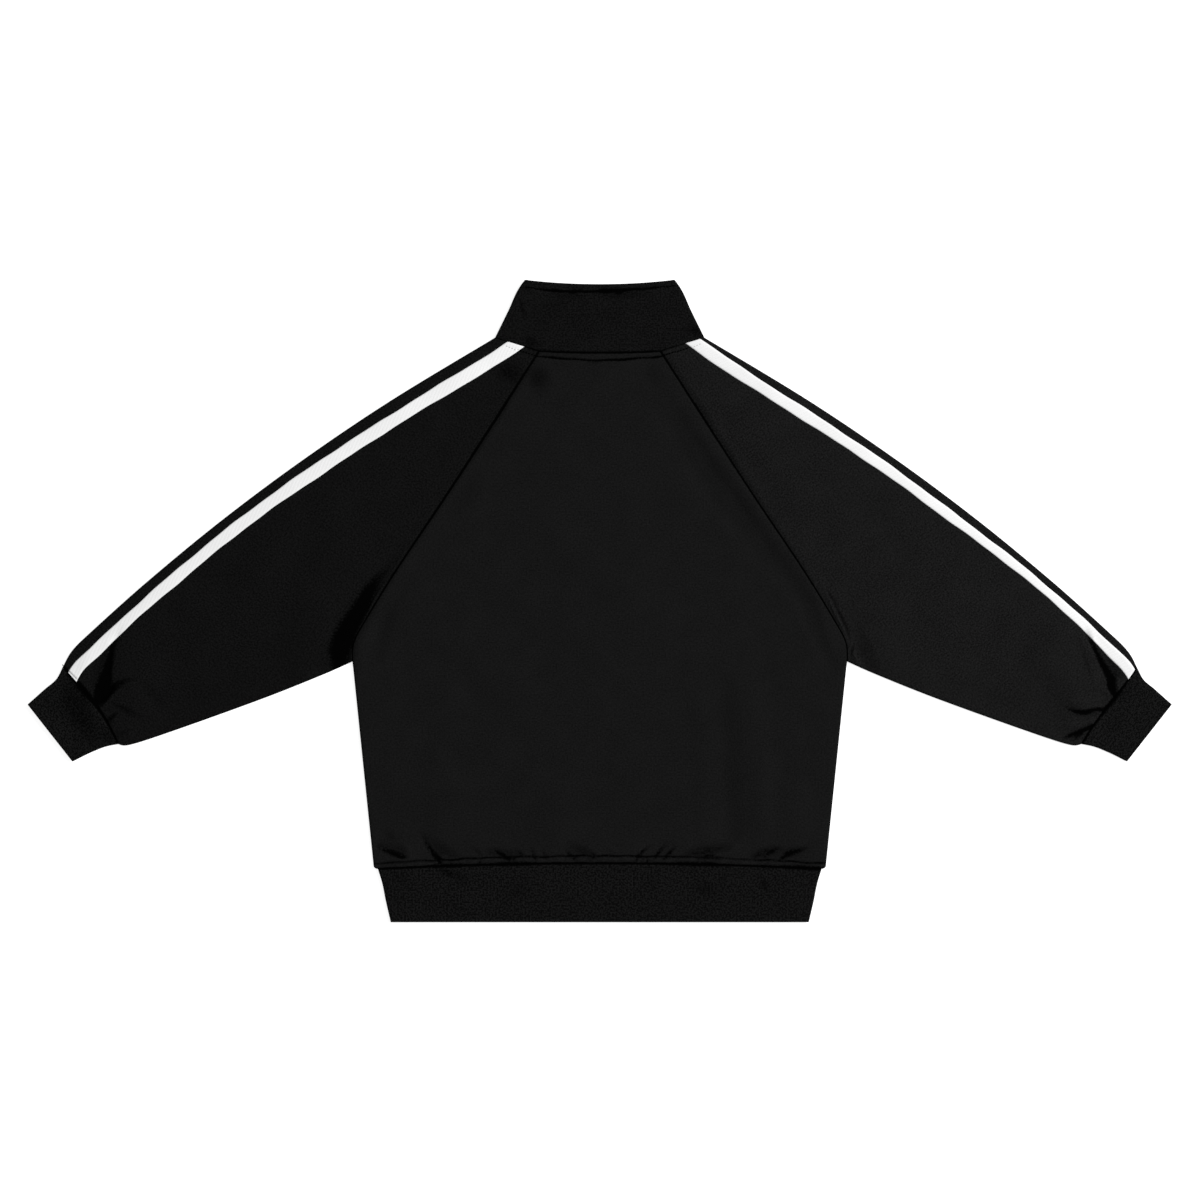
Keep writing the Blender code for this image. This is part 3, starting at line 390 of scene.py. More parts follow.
# folds of the back panel
BACK_FOLDS = [
    # cloth raised along the right raglan seam and a long soft trough inside it
    (ROUND, [(96, 250, 0.5, 16), (150, 165, 1.7, 17), (215, 72, 1.7, 17), (262, 4, 0.8, 15)]),
    (ROUND, [(74, 244, -1.0, 22), (131, 153, -2.4, 26), (190, 80, -2.2, 28), (230, 30, -1.6, 22),
             (250, 0, -1.9, 17), (266, -44, -2.0, 14), (284, -84, -0.8, 11)], 0.1),
    # cloth raised along the left raglan seam down to the armpit
    (ROUND, [(-160, 172, 0.2, 14), (-226, 66, 0.7, 14), (-268, -8, 1.5, 15, 12),
             (-292, -52, 2.2, 15, 10), (-297, -92, 1.2, 16, 12)]),
    (ROUND, [(-232, 40, -0.2, 15), (-262, -24, -0.7, 14), (-268, -70, -0.3, 12)]),
    # a shallow hollow at the top of each raglan seam, with painted shade in it
    line(ROUND, -80, 286, -72, 258, -1.2, 18, 0.5),
    line(ROUND, 58, 288, 74, 262, -0.6, 15, 0.2),
    line(ROUND, -150, 150, -176, 108, -0.8, 20, 0.1),
    # the middle of the back stands a little proud
    (ROUND, [(-20, 210, 1.2, 120), (10, 60, 1.6, 150), (0, -120, 1.2, 160)]),
    # soft vertical folds over the hem
    (ROUND, [(116, -70, 0.2, 24), (127, -150, 1.3, 24, 22), (130, -270, 1.1, 24, 20),
             (132, -306, 0.4, 16)]),
    (ROUND, [(180, -60, 0.2, 24), (190, -150, 1.4, 24), (195, -270, 1.2, 24),
             (198, -306, 0.4, 16)]),
    (ROUND, [(156, -90, -0.2, 14), (160, -180, -0.8, 16), (163, -285, -0.9, 16)]),
    (ROUND, [(-176, -100, 0.3, 30), (-186, -190, 1.2, 32), (-190, -292, 0.8, 28)]),
    (ROUND, [(-70, -130, 0.3, 34), (-52, -220, 1.0, 36), (-44, -296, 0.6, 28)]),
    (ROUND, [(46, -110, 0.2, 30), (40, -210, 0.8, 34), (36, -296, 0.5, 28)]),
    (ROUND, [(236, -110, 0.2, 18), (240, -210, 0.8, 20), (238, -296, 0.4, 20)]),
    # long faint folds that run from the seams to the middle
    (ROUND, [(-140, 130, 0.2, 40), (-60, 70, 1.1, 44), (20, 30, 0.9, 40), (70, -30, 0.3, 36)]),
    (ROUND, [(-190, 40, 0.2, 26), (-120, -20, -0.8, 32), (-40, -60, -0.7, 34),
             (40, -110, -0.3, 30)]),
    # faint hollows and two small pinches
    line(ROUND, -166, -92, -146, -120, -1.0, 24),
    line(ROUND, -192, -160, -172, -196, -1.0, 24),
    line(ROUND, -22, -14, 16, -38, -0.9, 30),
    line(ROUND, 60, 40, 90, 10, -0.5, 30),
    line(ROUND, -120, 30, -90, 60, -0.5, 30),
    line(SHARP, -70, -128, -63, -133, -0.7, 3.0),
    line(SHARP, 8, -206, 15, -211, -0.7, 3.0),
    # puckers over the turned edge, with painted shade in them
    (ROUND, [(-218, -281, -0.2, 4, 5), (-212, -294, -0.9, 3, 4), (-204, -306, -1.8, 4, 5),
             (-195, -316, -2.0, 5, 7)], 1.4),
    (ROUND, [(-210, -290, -0.4, 12, 7), (-194, -305, -0.9, 15, 6),
             (-176, -313, -0.5, 10, 5)], 0.45),
    (ROUND, [(-271, -299, -0.3, 3, 4), (-262, -304, -0.9, 5), (-252, -309, -1.6, 6, 4),
             (-240, -313, -1.5, 6, 3)], 1.3),
    (ROUND, [(-268, -297, -0.4, 8), (-246, -306, -0.6, 13, 6)], 0.35),
    line(ROUND, -262, -284, -250, -290, -0.5, 8, 0.3),
    line(ROUND, -240, -296, -230, -310, 0.9, 7),
    (ROUND, [(-155, -300, -0.2, 3), (-150, -305, -0.8, 3), (-144, -311, -0.4, 3)], 0.5),
    (ROUND, [(-128, -303, -0.3, 3), (-122, -308, -1.2, 3, 4), (-114, -313, -1.4, 4, 5),
             (-105, -315, -0.8, 4, 5)], 1.2),
    (ROUND, [(-134, -307, -0.5, 9, 6), (-104, -310, -0.6, 12, 6)], 0.4),
    (ROUND, [(-100, -304, -0.2, 3), (-94, -311, -0.8, 4)], 0.7),
    (ROUND, [(-84, -301, -0.2, 3), (-81, -308, -0.9, 3), (-79, -314, -0.9, 3)], 0.8),
    (ROUND, [(-70, -303, -0.2, 3), (-66, -312, -0.9, 3, 4)], 0.75),
    (ROUND, [(-41, -304, -0.3, 3), (-36, -310, -1.1, 4), (-31, -314, -0.9, 4, 5)], 0.9),
    (ROUND, [(-36, -298, -0.3, 9), (-20, -306, -0.7, 10, 9), (-12, -313, -0.5, 7)], 0.5),
    (ROUND, [(-12, -304, -0.2, 3), (-6, -312, -0.9, 4)], 0.8),
    line(ROUND, 10, -300, 22, -309, 0.7, 5),
    (ROUND, [(60, -299, -0.2, 3), (52, -306, -0.9, 3, 4), (45, -313, -0.9, 3, 4)], 0.9),
    line(ROUND, 38, -311, 52, -303, 0.7, 4),
    (ROUND, [(80, -297, -0.2, 3), (74, -304, -1.0, 3, 4), (68, -312, -1.0, 3, 4)], 0.95),
    (ROUND, [(92, -300, -0.2, 3), (86, -306, -1.1, 3, 4), (79, -314, -1.1, 3, 4)], 1.0),
    line(ROUND, 62, -312, 76, -302, 0.7, 4),
    (ROUND, [(98, -312, -0.4, 5, 4), (110, -309, -1.0, 10, 5), (130, -306, -1.4, 12, 8),
             (156, -300, -0.6, 9, 8)], 0.6),
    (ROUND, [(120, -314, -0.8, 3, 4), (134, -311, -1.0, 4, 5), (146, -314, -0.6, 4)], 0.7),
    line(ROUND, 150, -312, 168, -299, 0.9, 6),
    line(ROUND, 140, -310, 154, -300, 0.6, 4),
    (ROUND, [(186, -313, -0.4, 5, 4), (198, -307, -0.8, 7, 6), (212, -302, -0.5, 7, 6)], 0.5),
    (ROUND, [(200, -312, -0.5, 3), (210, -306, -1.0, 5, 4), (219, -301, -0.4, 4)], 0.65),
    (ROUND, [(222, -314, -1.2, 4), (230, -309, -1.5, 7, 4), (240, -305, -1.3, 5),
             (250, -302, -0.6, 5, 4)], 1.0),
    (ROUND, [(190, -312, -0.5, 14, 10), (236, -308, -0.6, 14, 10)], 0.25),
    line(ROUND, 226, -305, 248, -293, 0.8, 5),
    # pinches across the turned edge, with painted shade in them
    line(SHARP, -150, -325, -145, -316, -1.0, 3.4, 0.9),
    line(SHARP, -140, -325, -137, -317, -0.8, 3.0, 0.7),
    line(SHARP, 43, -321, 46, -312, -0.9, 3.0, 0.8),
    line(SHARP, 50, -321, 53, -313, -0.8, 2.6, 0.7),
    line(SHARP, 57, -321, 59, -313, -0.9, 3.0, 0.8),
    line(SHARP, 141, -323, 139, -315, -0.8, 3.4, 0.6),
    line(SHARP, 200, -325, 206, -317, -0.8, 3.4, 0.6),
]

# folds of the left sleeve
SLEEVE_LEFT_FOLDS = [
    # puffed cloth beside the armpit
    (ROUND, [(-300, 60, 0.6, 34, 40), (-338, 4, 3.4, 40, 46), (-352, -50, 4.0, 40, 46),
             (-356, -84, 2.4, 34, 40)]),
    # the deep trough that the seam's edge hangs over, with the edge's shadow painted black in it
    (DEEP, [(-268, 34, -0.8, 4, 5), (-274, 24, -2.8, 6, 8), (-281, 11, -4.6, 9, 12),
            (-293, -14, -5.2, 12, 16), (-304, -34, -5.6, 13, 20), (-311, -48, -5.8, 17, 21),
            (-315, -60, -5.8, 15, 21), (-315, -76, -5.4, 12, 17), (-315, -90, -4.6, 9, 15)], 1.15),
    (ROUND, [(-240, 66, -0.1, 10, 8), (-258, 40, -0.5, 9, 12), (-276, 12, -0.9, 8, 20),
             (-300, -30, -1.0, 8, 34), (-318, -70, -0.8, 8, 34)], 0.45),
    # the rolled edge beside the seam
    (ROUND, [(-240, 57, 0.2, 2.4), (-251, 40, 0.9, 2.4), (-271, 8, 1.4, 2.6), (-291, -26, 1.4, 2.6),
             (-303, -50, 0.6, 2.4)]),
    # small folds that run into its top
    line(SHARP, -253, 44, -268, 18, 1.2, 3.4),
    line(SHARP, -248, 40, -262, 16, -0.8, 3.0, 0.2),
    line(SHARP, -259, 42, -272, 22, -0.7, 3.0, 0.2),
    # cloth gathered into the cuff: the puff, the deep trough with painted black shade, and its crisp
    # edge
    (ROUND, [(-520, -20, 0.4, 50), (-556, -70, 3.2, 44, 50), (-574, -120, 3.8, 34, 44),
             (-584, -156, 2.0, 24, 30)]),
    (DEEP, [(-586, -40, -1.2, 3), (-594, -54, -3.4, 3, 4), (-597, -70, -4.8, 4, 5),
            (-600, -83, -5.4, 6, 7), (-603, -95, -5.8, 10), (-605, -106, -6.2, 15, 14),
            (-609, -118, -5.8, 12), (-614, -128, -4.6, 6, 8)], 1.15),
    (ROUND, [(-584, -36, -0.3, 5, 8), (-596, -64, -0.7, 7, 16), (-603, -90, -0.7, 10, 20),
             (-610, -114, -0.5, 10, 16)], 0.55),
    (DEEP, [(-609, -117, -3.0, 3, 9), (-599, -108, -3.6, 3, 10), (-589, -100, -3.2, 3, 9),
            (-578, -96, -1.8, 2, 6), (-566, -94, -0.5, 2, 4)], 1.0),
    (ROUND, [(-610, -36, 0.2, 10), (-622, -62, 0.7, 12), (-630, -86, 0.7, 10)]),
    (ROUND, [(-552, -99, 0.2, 4, 12), (-572, -101, 1.3, 4, 13), (-582, -104, 1.9, 4, 13),
             (-594, -113, 2.2, 4, 13), (-605, -126, 2.2, 4, 12), (-614, -136, 1.4, 4, 9)]),
    (ROUND, [(-594, -127, -0.5, 4), (-584, -130, -1.3, 5, 6), (-573, -136, -1.2, 7),
             (-562, -142, -0.4, 6)], 0.5),
    line(ROUND, -602, -148, -590, -137, -1.9, 4.0, 0.8),
    line(ROUND, -606, -140, -588, -146, 1.0, 6.0),
    line(ROUND, -600, -158, -586, -150, 1.0, 5.0),
    line(ROUND, -556, -102, -534, -128, -0.8, 11),
    line(ROUND, -592, -166, -576, -158, -0.9, 5),
    # long soft forms down the sleeve
    (ROUND, [(-150, 250, 0.4, 30), (-260, 150, 1.4, 60), (-400, 40, 1.8, 70),
             (-500, -50, 1.2, 50)]),
    line(ROUND, -124, 284, -96, 272, -1.3, 18, 0.55),
    line(ROUND, -330, 120, -372, 66, -0.6, 26),
    line(ROUND, -430, 60, -470, -10, -0.7, 24),
    line(ROUND, -420, -90, -500, -122, -0.5, 16),
]

# folds of the right sleeve
SLEEVE_RIGHT_FOLDS = [
    # small folds beside the seam and over the armpit
    (SHARP, [(275, 15, -0.4, 3, 4), (283, 3, -1.5, 3, 4), (289, -5, -1.0, 3, 4)]),
    (SHARP, [(268, 26, 0.3, 3, 4), (279, 2, 1.1, 3, 4), (289, -20, 1.6, 3, 4),
             (298, -36, 0.8, 3, 4)]),
    (ROUND, [(284, -2, -0.5, 3), (292, -16, -1.3, 3), (300, -32, -1.3, 3),
             (304, -46, -0.8, 3)], 0.5),
    (ROUND, [(312, -36, -0.8, 12), (320, -56, -2.4, 14, 13), (331, -84, -1.8, 12)], 0.3),
    line(SHARP, 309, -53, 305, -66, -1.8, 3.5, 0.5),
    line(SHARP, 318, -58, 314, -74, -1.0, 3.5, 0.2),
    line(ROUND, 309, -60, 314, -78, 2.0, 6),
    (ROUND, [(350, 10, 0.3, 40), (356, -40, 1.4, 36), (362, -80, 1.2, 30)]),
    # cloth gathered into the cuff, with painted black shade in its troughs
    (ROUND, [(510, -10, 0.4, 50), (556, -66, 3.0, 50, 44), (584, -112, 3.4, 40, 34),
             (580, -150, 2.2, 26)]),
    (ROUND, [(582, -38, 0.2, 9, 7), (594, -64, 0.8, 10, 8), (603, -92, 1.0, 10, 8),
             (606, -106, 0.7, 8)]),
    (ROUND, [(584, -46, -0.1, 3), (591, -68, -0.35, 3), (597, -90, -0.2, 3)], 0.25),
    (DEEP, [(592, -36, -1.2, 3), (600, -52, -4.0, 3.4), (605, -62, -4.8, 3.6),
            (611, -74, -5.4, 4.6), (617, -84, -6.0, 6), (623, -94, -6.4, 8),
            (624, -104, -6.2, 7, 8), (627, -112, -5.4, 6), (631, -118, -4.0, 5)], 1.45),
    (ROUND, [(604, -46, -0.4, 10, 3), (616, -66, -0.6, 12, 3), (630, -90, -0.6, 12, 3)], 0.45),
    (ROUND, [(612, -30, 0.2, 14), (630, -47, 0.9, 16), (643, -60, 1.3, 17), (654, -80, 1.3, 16)]),
    (SHARP, [(612, -106, 0.6, 4, 8), (619, -110, 1.8, 4, 9), (629, -118, 1.8, 4, 8)]),
    (DEEP, [(572, -133, -1.0, 2), (584, -136, -2.6, 4, 3), (594, -136, -2.8, 4, 3),
            (604, -132, -2.4, 3), (614, -133, -2.6, 4), (621, -128, -2.6, 4)], 1.3),
    (ROUND, [(568, -130, -0.6, 5, 7), (584, -136, -1.4, 8, 10), (602, -137, -1.0, 6, 9)], 0.45),
    (DEEP, [(564, -168, -0.8, 2), (574, -163, -2.2, 3, 4), (586, -159, -2.6, 4, 3),
            (600, -153, -2.6, 4)], 1.25),
    line(ROUND, 577, -168, 589, -160, -1.6, 4.0, 0.9),
    line(ROUND, 546, -153, 588, -150, 1.2, 7),
    line(ROUND, 590, -146, 606, -145, 1.2, 6),
    line(ROUND, 566, -122, 596, -124, 0.8, 8),
    # long soft forms down the sleeve
    (ROUND, [(140, 262, 0.4, 30), (252, 160, 1.6, 60), (390, 50, 1.8, 70), (490, -40, 1.2, 50)]),
    line(ROUND, 300, 130, 346, 76, -0.6, 28),
    line(ROUND, 420, 60, 462, 0, -0.6, 24),
    line(ROUND, 430, -96, 510, -128, -0.5, 16),
]

COLLAR_FOLDS = [
    line(SHARP, -98, 367, -92, 345, -1.3, 3.0, 0.8),
    line(SHARP, -95, 368, -89, 346, 0.6, 4.0),
    line(ROUND, -91, 318, -78, 312, -1.0, 10, 0.6),
    line(ROUND, 110, 332, 126, 325, -1.0, 9, 0.6),
    line(ROUND, -94, 382, -84, 378, -0.5, 8, 0.3),
    line(ROUND, -60, 354, -44, 366, -0.5, 12, 0.15),
    line(ROUND, -56, 372, -20, 371, -0.7, 5, 0.3),
    line(ROUND, 2, 372, 58, 374, -0.9, 6, 0.4),
    line(ROUND, -14, 352, 34, 340, -0.5, 16),
    (ROUND, [(-70, 350, 0.3, 30), (0, 346, 0.8, 34), (70, 352, 0.3, 30)]),
]

HEM_FOLDS = [
    line(ROUND, -194, -329, -178, -334, -1.0, 6, 0.7),
    line(ROUND, -176, -334, -166, -342, -0.6, 9, 0.35),
    line(ROUND, 118, -346, 140, -356, -0.6, 13, 0.4),
    line(ROUND, 196, -340, 204, -352, -0.6, 8, 0.5),
    line(ROUND, -110, -348, -90, -356, -0.4, 16, 0.25),
    line(ROUND, -250, -334, -236, -344, -0.6, 10),
    line(ROUND, -96, -332, -90, -350, -0.4, 9),
    line(ROUND, 60, -334, 66, -356, -0.5, 12),
    line(ROUND, 150, -332, 146, -352, -0.6, 10),
    line(ROUND, 214, -334, 220, -350, -0.5, 10),
    (ROUND, [(-150, -362, 0.5, 26), (-20, -360, 0.7, 26), (160, -362, 0.5, 26)]),
]

CUFF_LEFT_FOLDS = [
    (ROUND, [(-652, -102, -0.6, 12), (-644, -122, -1.3, 21, 23), (-630, -146, -1.3, 21, 24),
             (-618, -166, -0.8, 16, 18)], 0.55),
    (ROUND, [(-646, -90, -0.4, 5, 7), (-634, -106, -0.6, 8, 10), (-622, -122, -0.5, 8)], 0.6),
    line(ROUND, -606, -156, -596, -172, -0.8, 10, 0.3),
    line(ROUND, -696, -130, -646, -194, 1.5, 20, tip=0.8),
]

CUFF_RIGHT_FOLDS = [
    line(ROUND, 646, -104, 634, -120, -0.6, 9),
    line(ROUND, 633, -110, 622, -124, -0.5, 6, 0.8),
    line(ROUND, 634, -140, 620, -162, -0.6, 12),
    line(ROUND, 684, -124, 650, -172, 0.6, 14),
]

SLEEVE_FOLDS = {-1: SLEEVE_LEFT_FOLDS, 1: SLEEVE_RIGHT_FOLDS}
CUFF_FOLDS = {-1: CUFF_LEFT_FOLDS, 1: CUFF_RIGHT_FOLDS}
BANK_EDGE = 3.0                      # width of a bank on the side of its seam


def along_seam(values, count):
    """One value for a whole seam, or a few spread evenly along it."""
    values = np.atleast_1d(values)
    return np.interp(np.linspace(0.0, 1.0, count), np.linspace(0.0, 1.0, len(values)), values)


def seam_nodes(points, depth, width):
    """Nodes of a trough along a seam."""
    depths, widths = along_seam(depth, len(points)), along_seam(width, len(points))
    return [(x, y, -d, w) for (x, y), d, w in zip(points, depths, widths)]


def seam_fold(points, depth, width):
    """The groove of a seam, where both edges roll down to it, with painted black shade in it."""
    return (DEEP, seam_nodes(points, depth, width), 1.0)


def seam_bank(points, depth, width, shade):
    """The cloth just east of a raglan seam sinks towards it, and shade is painted on it."""
    return (ROUND, [node + (BANK_EDGE,) for node in seam_nodes(points, depth, width)], shade)


def sampled(curve, side, count=40):
    """Points of a plan curve on one side of the jacket."""
    return [(side * curve.at(i / count)[0], curve.at(i / count)[1]) for i in range(count + 1)]


RAGLAN_LEFT, RAGLAN_RIGHT = sampled(back_raglan, -1), sampled(back_raglan, 1)


# ---- heights of the layers -------------------------------------------------------------------

def broad_waves(x, y):
    """Low uneven waves, as cloth that was smoothed down by hand keeps."""
    waves = 0.42 * np.sin(x / 23.0 + 1.3 * np.sin(y / 47.0)) * np.sin(y / 31.0 + 0.7)
    waves += 0.3 * np.sin((x + 0.6 * y) / 17.0 + 2.1) * np.sin((y - 0.4 * x) / 43.0)
    return waves + 0.13 * np.sin((x - 0.8 * y) / 9.0 + np.sin(y / 29.0))


def ridge_top(x):
    """How far over the hem seam the turned edge ends; it wanders a little."""
    wander = 0.5 * np.sin(x / 13.0 + 0.4) * np.sin(x / 41.0)
    wander += 0.4 * np.sin(x / 5.3 + 1.4 * np.sin(x / 31.0))
    return RIDGE_REACH - RIDGE_TAPER * (np.abs(x) / HEM_SEAM_SIDE[0]) ** 2 + wander


def on_ridge(x, over):
    """Whether plan points are near the turned edge."""
    return (np.abs(x) < HEM_SEAM_SIDE[0] + EDGE_ROUND) & (over > -1.0)


def ridge_height(x, y):
    """The turned edge just above the hem seam, between two stitched-in lines."""
    over = y - hem_seam(x)
    top = ridge_top(x)
    pinch = 1.0 + 0.26 * np.sin(x / 7.3) * np.sin(x / 17.1 + 0.8)
    pinch += 0.14 * np.sin(x / 2.1 + np.sin(x / 9.0))
    q = np.clip(over / top, 0.0, 1.0)
    roll = RIDGE_HEIGHT * pinch * (4.0 * q * (1.0 - q)) ** 0.5
    groove = -RIDGE_LINE_DEPTH * np.exp(-(((over - top) / RIDGE_LINE_WIDTH) ** 2))
    return np.where(on_ridge(x, over), np.where(over < top, roll, 0.0) + groove, 0.0)


# x, how dark the upper line's painted shade is, how far up the lower one's painted shadow reaches
HEM_LINES = [(-275, 0.5, 1.2), (-215, 0.6, 1.5), (-199, 1.0, 4.6), (-176, 1.0, 4.6),
             (-162, 0.9, 2.0), (-138, 1.0, 1.8), (-121, 1.0, 4.8), (-94, 1.0, 4.6), (-80, 0.9, 2.0),
             (-40, 1.0, 1.6), (60, 1.0, 1.4), (92, 0.9, 2.4), (106, 0.9, 4.8), (138, 0.5, 5.0),
             (147, 0.3, 1.6), (184, 0.3, 1.2), (196, 1.0, 2.4), (222, 1.0, 3.0), (238, 1.0, 5.0),
             (262, 0.9, 5.6), (275, 0.8, 2.6)]


def ridge_shade(x, y):
    """How dark the painted shade of the two lines beside the turned edge is: the stitched-in line and
    the shadow under the edge.
    """
    over = y - hem_seam(x)
    uneven = 0.86 + 0.14 * np.sin(x / 6.1) + 0.12 * np.sin(x / 2.3)
    strength = read_table(HEM_LINES, x, 1) * uneven
    width = 1.05 + 0.3 * np.sin(x / 8.7 + 2.0) * np.sin(x / 33.0)
    spread = np.exp(-(((over - ridge_top(x) - 0.2) / width) ** 2))
    upper = strength * np.clip(1.35 * spread, 0.0, 1.0)
    reach = read_table(HEM_LINES, x, 2) + 0.4 * np.sin(x / 4.7)
    lower = 1.0 - slope(over, (0.5, reach))
    return np.where(on_ridge(x, over), np.maximum(upper, lower), 0.0)


def front_lift(x, y):
    """The front rises over the slider and its pull tab."""
    return FRONT_LIFT * (1.0 - slope(np.abs(x), FRONT_LIFT_ACROSS)) * slope(y, FRONT_LIFT_UP)


def back_lift(x, y):
    """The back rises over the lifted front."""
    along = slope(y, BACK_LIFT_UP) * (1.0 - BACK_LIFT_LOST * slope(y, BACK_LIFT_DOWN))
    return BACK_LIFT * (1.0 - slope(np.abs(x), BACK_LIFT_ACROSS)) * along


def thinned(wall, x):
    """A doubled wall is single beside the front zip, where the zip's tape lies on it."""
    return CLOTH + (wall - CLOTH) * np.clip((np.abs(x) - ZIP_SINGLE) / 2.0, 0.0, 1.0)


def fade_at_seams(x, y):
    """Waves fade out along both raglan seams, so that the pieces meet."""
    closest = np.full(x.shape, np.inf)
    for points in (RAGLAN_LEFT, RAGLAN_RIGHT):
        for px, py in points[::2]:
            closest = np.minimum(closest, (x - px) ** 2 + (y - py) ** 2)
    return slope(np.sqrt(closest), (4.0, 22.0))


class Layers:
    """Heights of a flattened piece: its upper wall and its lower wall."""

    def __init__(self, inside, wall, folds, waves, on_body=False):
        self.inside = inside
        self.wall = wall
        self.folds = folds
        self.waves = waves
        self.on_body = on_body
        self.middle = 0.5 * (inside + wall)

    def upper(self, x, y):
        """Outer height, inner height and painted shade, in the upper wall."""
        relief, painted_shade = fold_field(x, y, self.folds)
        waves = self.waves * broad_waves(x, y)
        if self.on_body:
            waves = waves * fade_at_seams(x, y)
        inner = self.inside + back_lift(x, y) + relief + waves
        on_collar = (np.abs(x) < COLLAR_UNDER[0]) & (y > COLLAR_UNDER[1])
        lowest = np.where(on_collar, COLLAR_WALL, CLOTH) + front_lift(x, y) + LAYER_CLEARANCE
        # a soft maximum keeps the upper wall above the lower one
        inner = lowest + 0.5 * (inner - lowest + np.sqrt((inner - lowest) ** 2 + 0.25))
        outer = inner + self.wall
        if self.on_body:
            outer = outer + ridge_height(x, y)
            # painted shade of the two lines along the turned edge
            painted_shade = np.maximum(painted_shade, ridge_shade(x, y))
        return outer, inner, painted_shade

    def lower(self, x, y):
        """The same in the lower wall."""
        outer = front_lift(x, y)
        return outer, outer + thinned(self.wall, x), np.zeros_like(outer)


# ---- stations: a plan point on the outer face, one on the inner face, and the wall's angle ----

def flat_station(point, angle=0.0):
    """A station where the wall lies flat: angle 0 in the upper layer, 180 in the lower."""
    return (point, point, angle)


def edge_station(edge, inward, angle, wall, turned=1.0):
    """A station near an edge; turned is 1 where the wall turns over there and 0 where not."""
    across = abs(math.sin(math.radians(angle)))
    flat_in = EDGE_ROUND * (1.0 - math.degrees(math.asin(min(across, 1.0))) / 90.0)
    outer_in = mix(flat_in, EDGE_ROUND * (1.0 - across), turned)
    inner_in = mix(flat_in, EDGE_ROUND - (EDGE_ROUND - wall) * across, turned)
    flat_angle = 0.0 if angle <= 90.0 else 180.0
    bent = mix(flat_angle, angle, turned)
    return (move(edge, inward, outer_in), move(edge, inward, inner_in), bent)


def fold_stations(edge, inward_above, inward_below, wall):
    """Stations round a fold, from the upper layer to the lower one."""
    stations = []
    for angle in FOLD_ANGLES:
        share = float(np.clip((angle - 45.0) / 90.0, 0.0, 1.0))
        inward = heading((0.0, 0.0), mix(inward_above, inward_below, share))
        stations.append(edge_station(edge, inward, angle, wall))
    return stations


def flipped(stations):
    """The stations on the other side of the centre line, in the other order."""
    return [((-p[0], p[1]), (-q[0], q[1]), angle) for p, q, angle in reversed(stations)]


def moved_row(row, direction, distance):
    """A row moved in plan; distance is a function of the plan point and the angle."""
    return [
        (move(p, direction, distance(p, angle)), move(q, direction, distance(q, angle)), angle)
        for p, q, angle in row
    ]


def arched_row(row, half_width, rise):
    """A row moved up to an arch over the line between its ends."""
    return moved_row(row, UP, lambda point, angle: arch(point[0], half_width, rise))


# ---- meshes ----------------------------------------------------------------------------------

SHARP_ANGLE = 50.0


def plan_grid(rows, face, side):
    """Grids of x and y of a wall's stations, on its outer face, 0, or on its inner one, 1."""
    points = np.array([[station[face] for station in row] for row in rows])
    return side * points[:, :, 0], points[:, :, 1]


def shell_mesh(name, rows, layers, material, side=1, closed=False, pinches=None, grain=0.0):
    """A cloth wall through rows of stations; closed joins each row's end to its start."""
    angle = np.array([[station[2] for station in row] for row in rows])
    lean = np.cos(np.radians(angle))
    edge = np.full(angle.shape, layers.middle)
    if not closed:
        edge += np.where(angle < 0.0, HALF_GAP, 0.0) - np.where(angle > 180.0, HALF_GAP, 0.0)
    grids, painted_shades = [], []
    for face in (0, 1):
        x, y = plan_grid(rows, face, side)
        up, low = layers.upper(x, y), layers.lower(x, y)
        wall = np.where(lean >= 0.0, up[face], low[face])
        grids.append(np.dstack([x, y, edge + (wall - edge) * np.abs(lean)]))
        painted_shades.append(np.where(lean >= 0.0, up[2], 0.0))
    if pinches is not None:
        middle = 0.5 * (grids[0][:, :, 2] + grids[1][:, :, 2])
        keep = np.sqrt(1.0 - np.array(pinches) ** 2)[:, None]
        for grid in grids:
            grid[:, :, 2] = middle + (grid[:, :, 2] - middle) * keep
    return grid_object(name, grids, painted_shades, material, closed, grain)


def grid_object(name, grids, painted_shades, material, closed=False, grain=0.0):
    """A closed piece between an outer and an inner grid."""
    n, m = grids[0].shape[:2]
    inner = n * m
    index = np.arange(inner).reshape(n, m)
    here, after = index, np.roll(index, -1, axis=1)
    if not closed:
        here, after = here[:, :-1], after[:, :-1]
    quads = np.stack([here[:-1], after[:-1], after[1:], here[1:]], axis=-1).reshape(-1, 4)
    rims = [(after[0], here[0]), (here[-1], after[-1])]
    if not closed:
        rims += [(index[:-1, 0], index[1:, 0]), (index[1:, -1], index[:-1, -1])]
    faces = [quads, quads[:, ::-1] + inner]
    faces += [np.stack([a, b, b + inner, a + inner], axis=-1) for a, b in rims]
    verts = np.concatenate([grid.reshape(-1, 3) for grid in grids])
    obj = mesh_object(name, verts, np.concatenate(faces), material, grain)
    # the painted shade of troughs and seams goes to the material as a point attribute
    depth = obj.data.attributes.new("painted_shade", "FLOAT", "POINT")
    depth.data.foreach_set("value", np.concatenate([painted_shade.ravel() for painted_shade in painted_shades]))
    return obj


def faces_outwards(verts, faces):
    """Whether the quads of a closed mesh face outwards."""
    volume = 0.0
    for corners in ((0, 1, 2), (0, 2, 3)):
        a, b, c = (verts[faces[:, corner]] for corner in corners)
        volume += np.einsum("ij,ij->i", a, np.cross(b, c)).sum()
    return volume >= 0.0


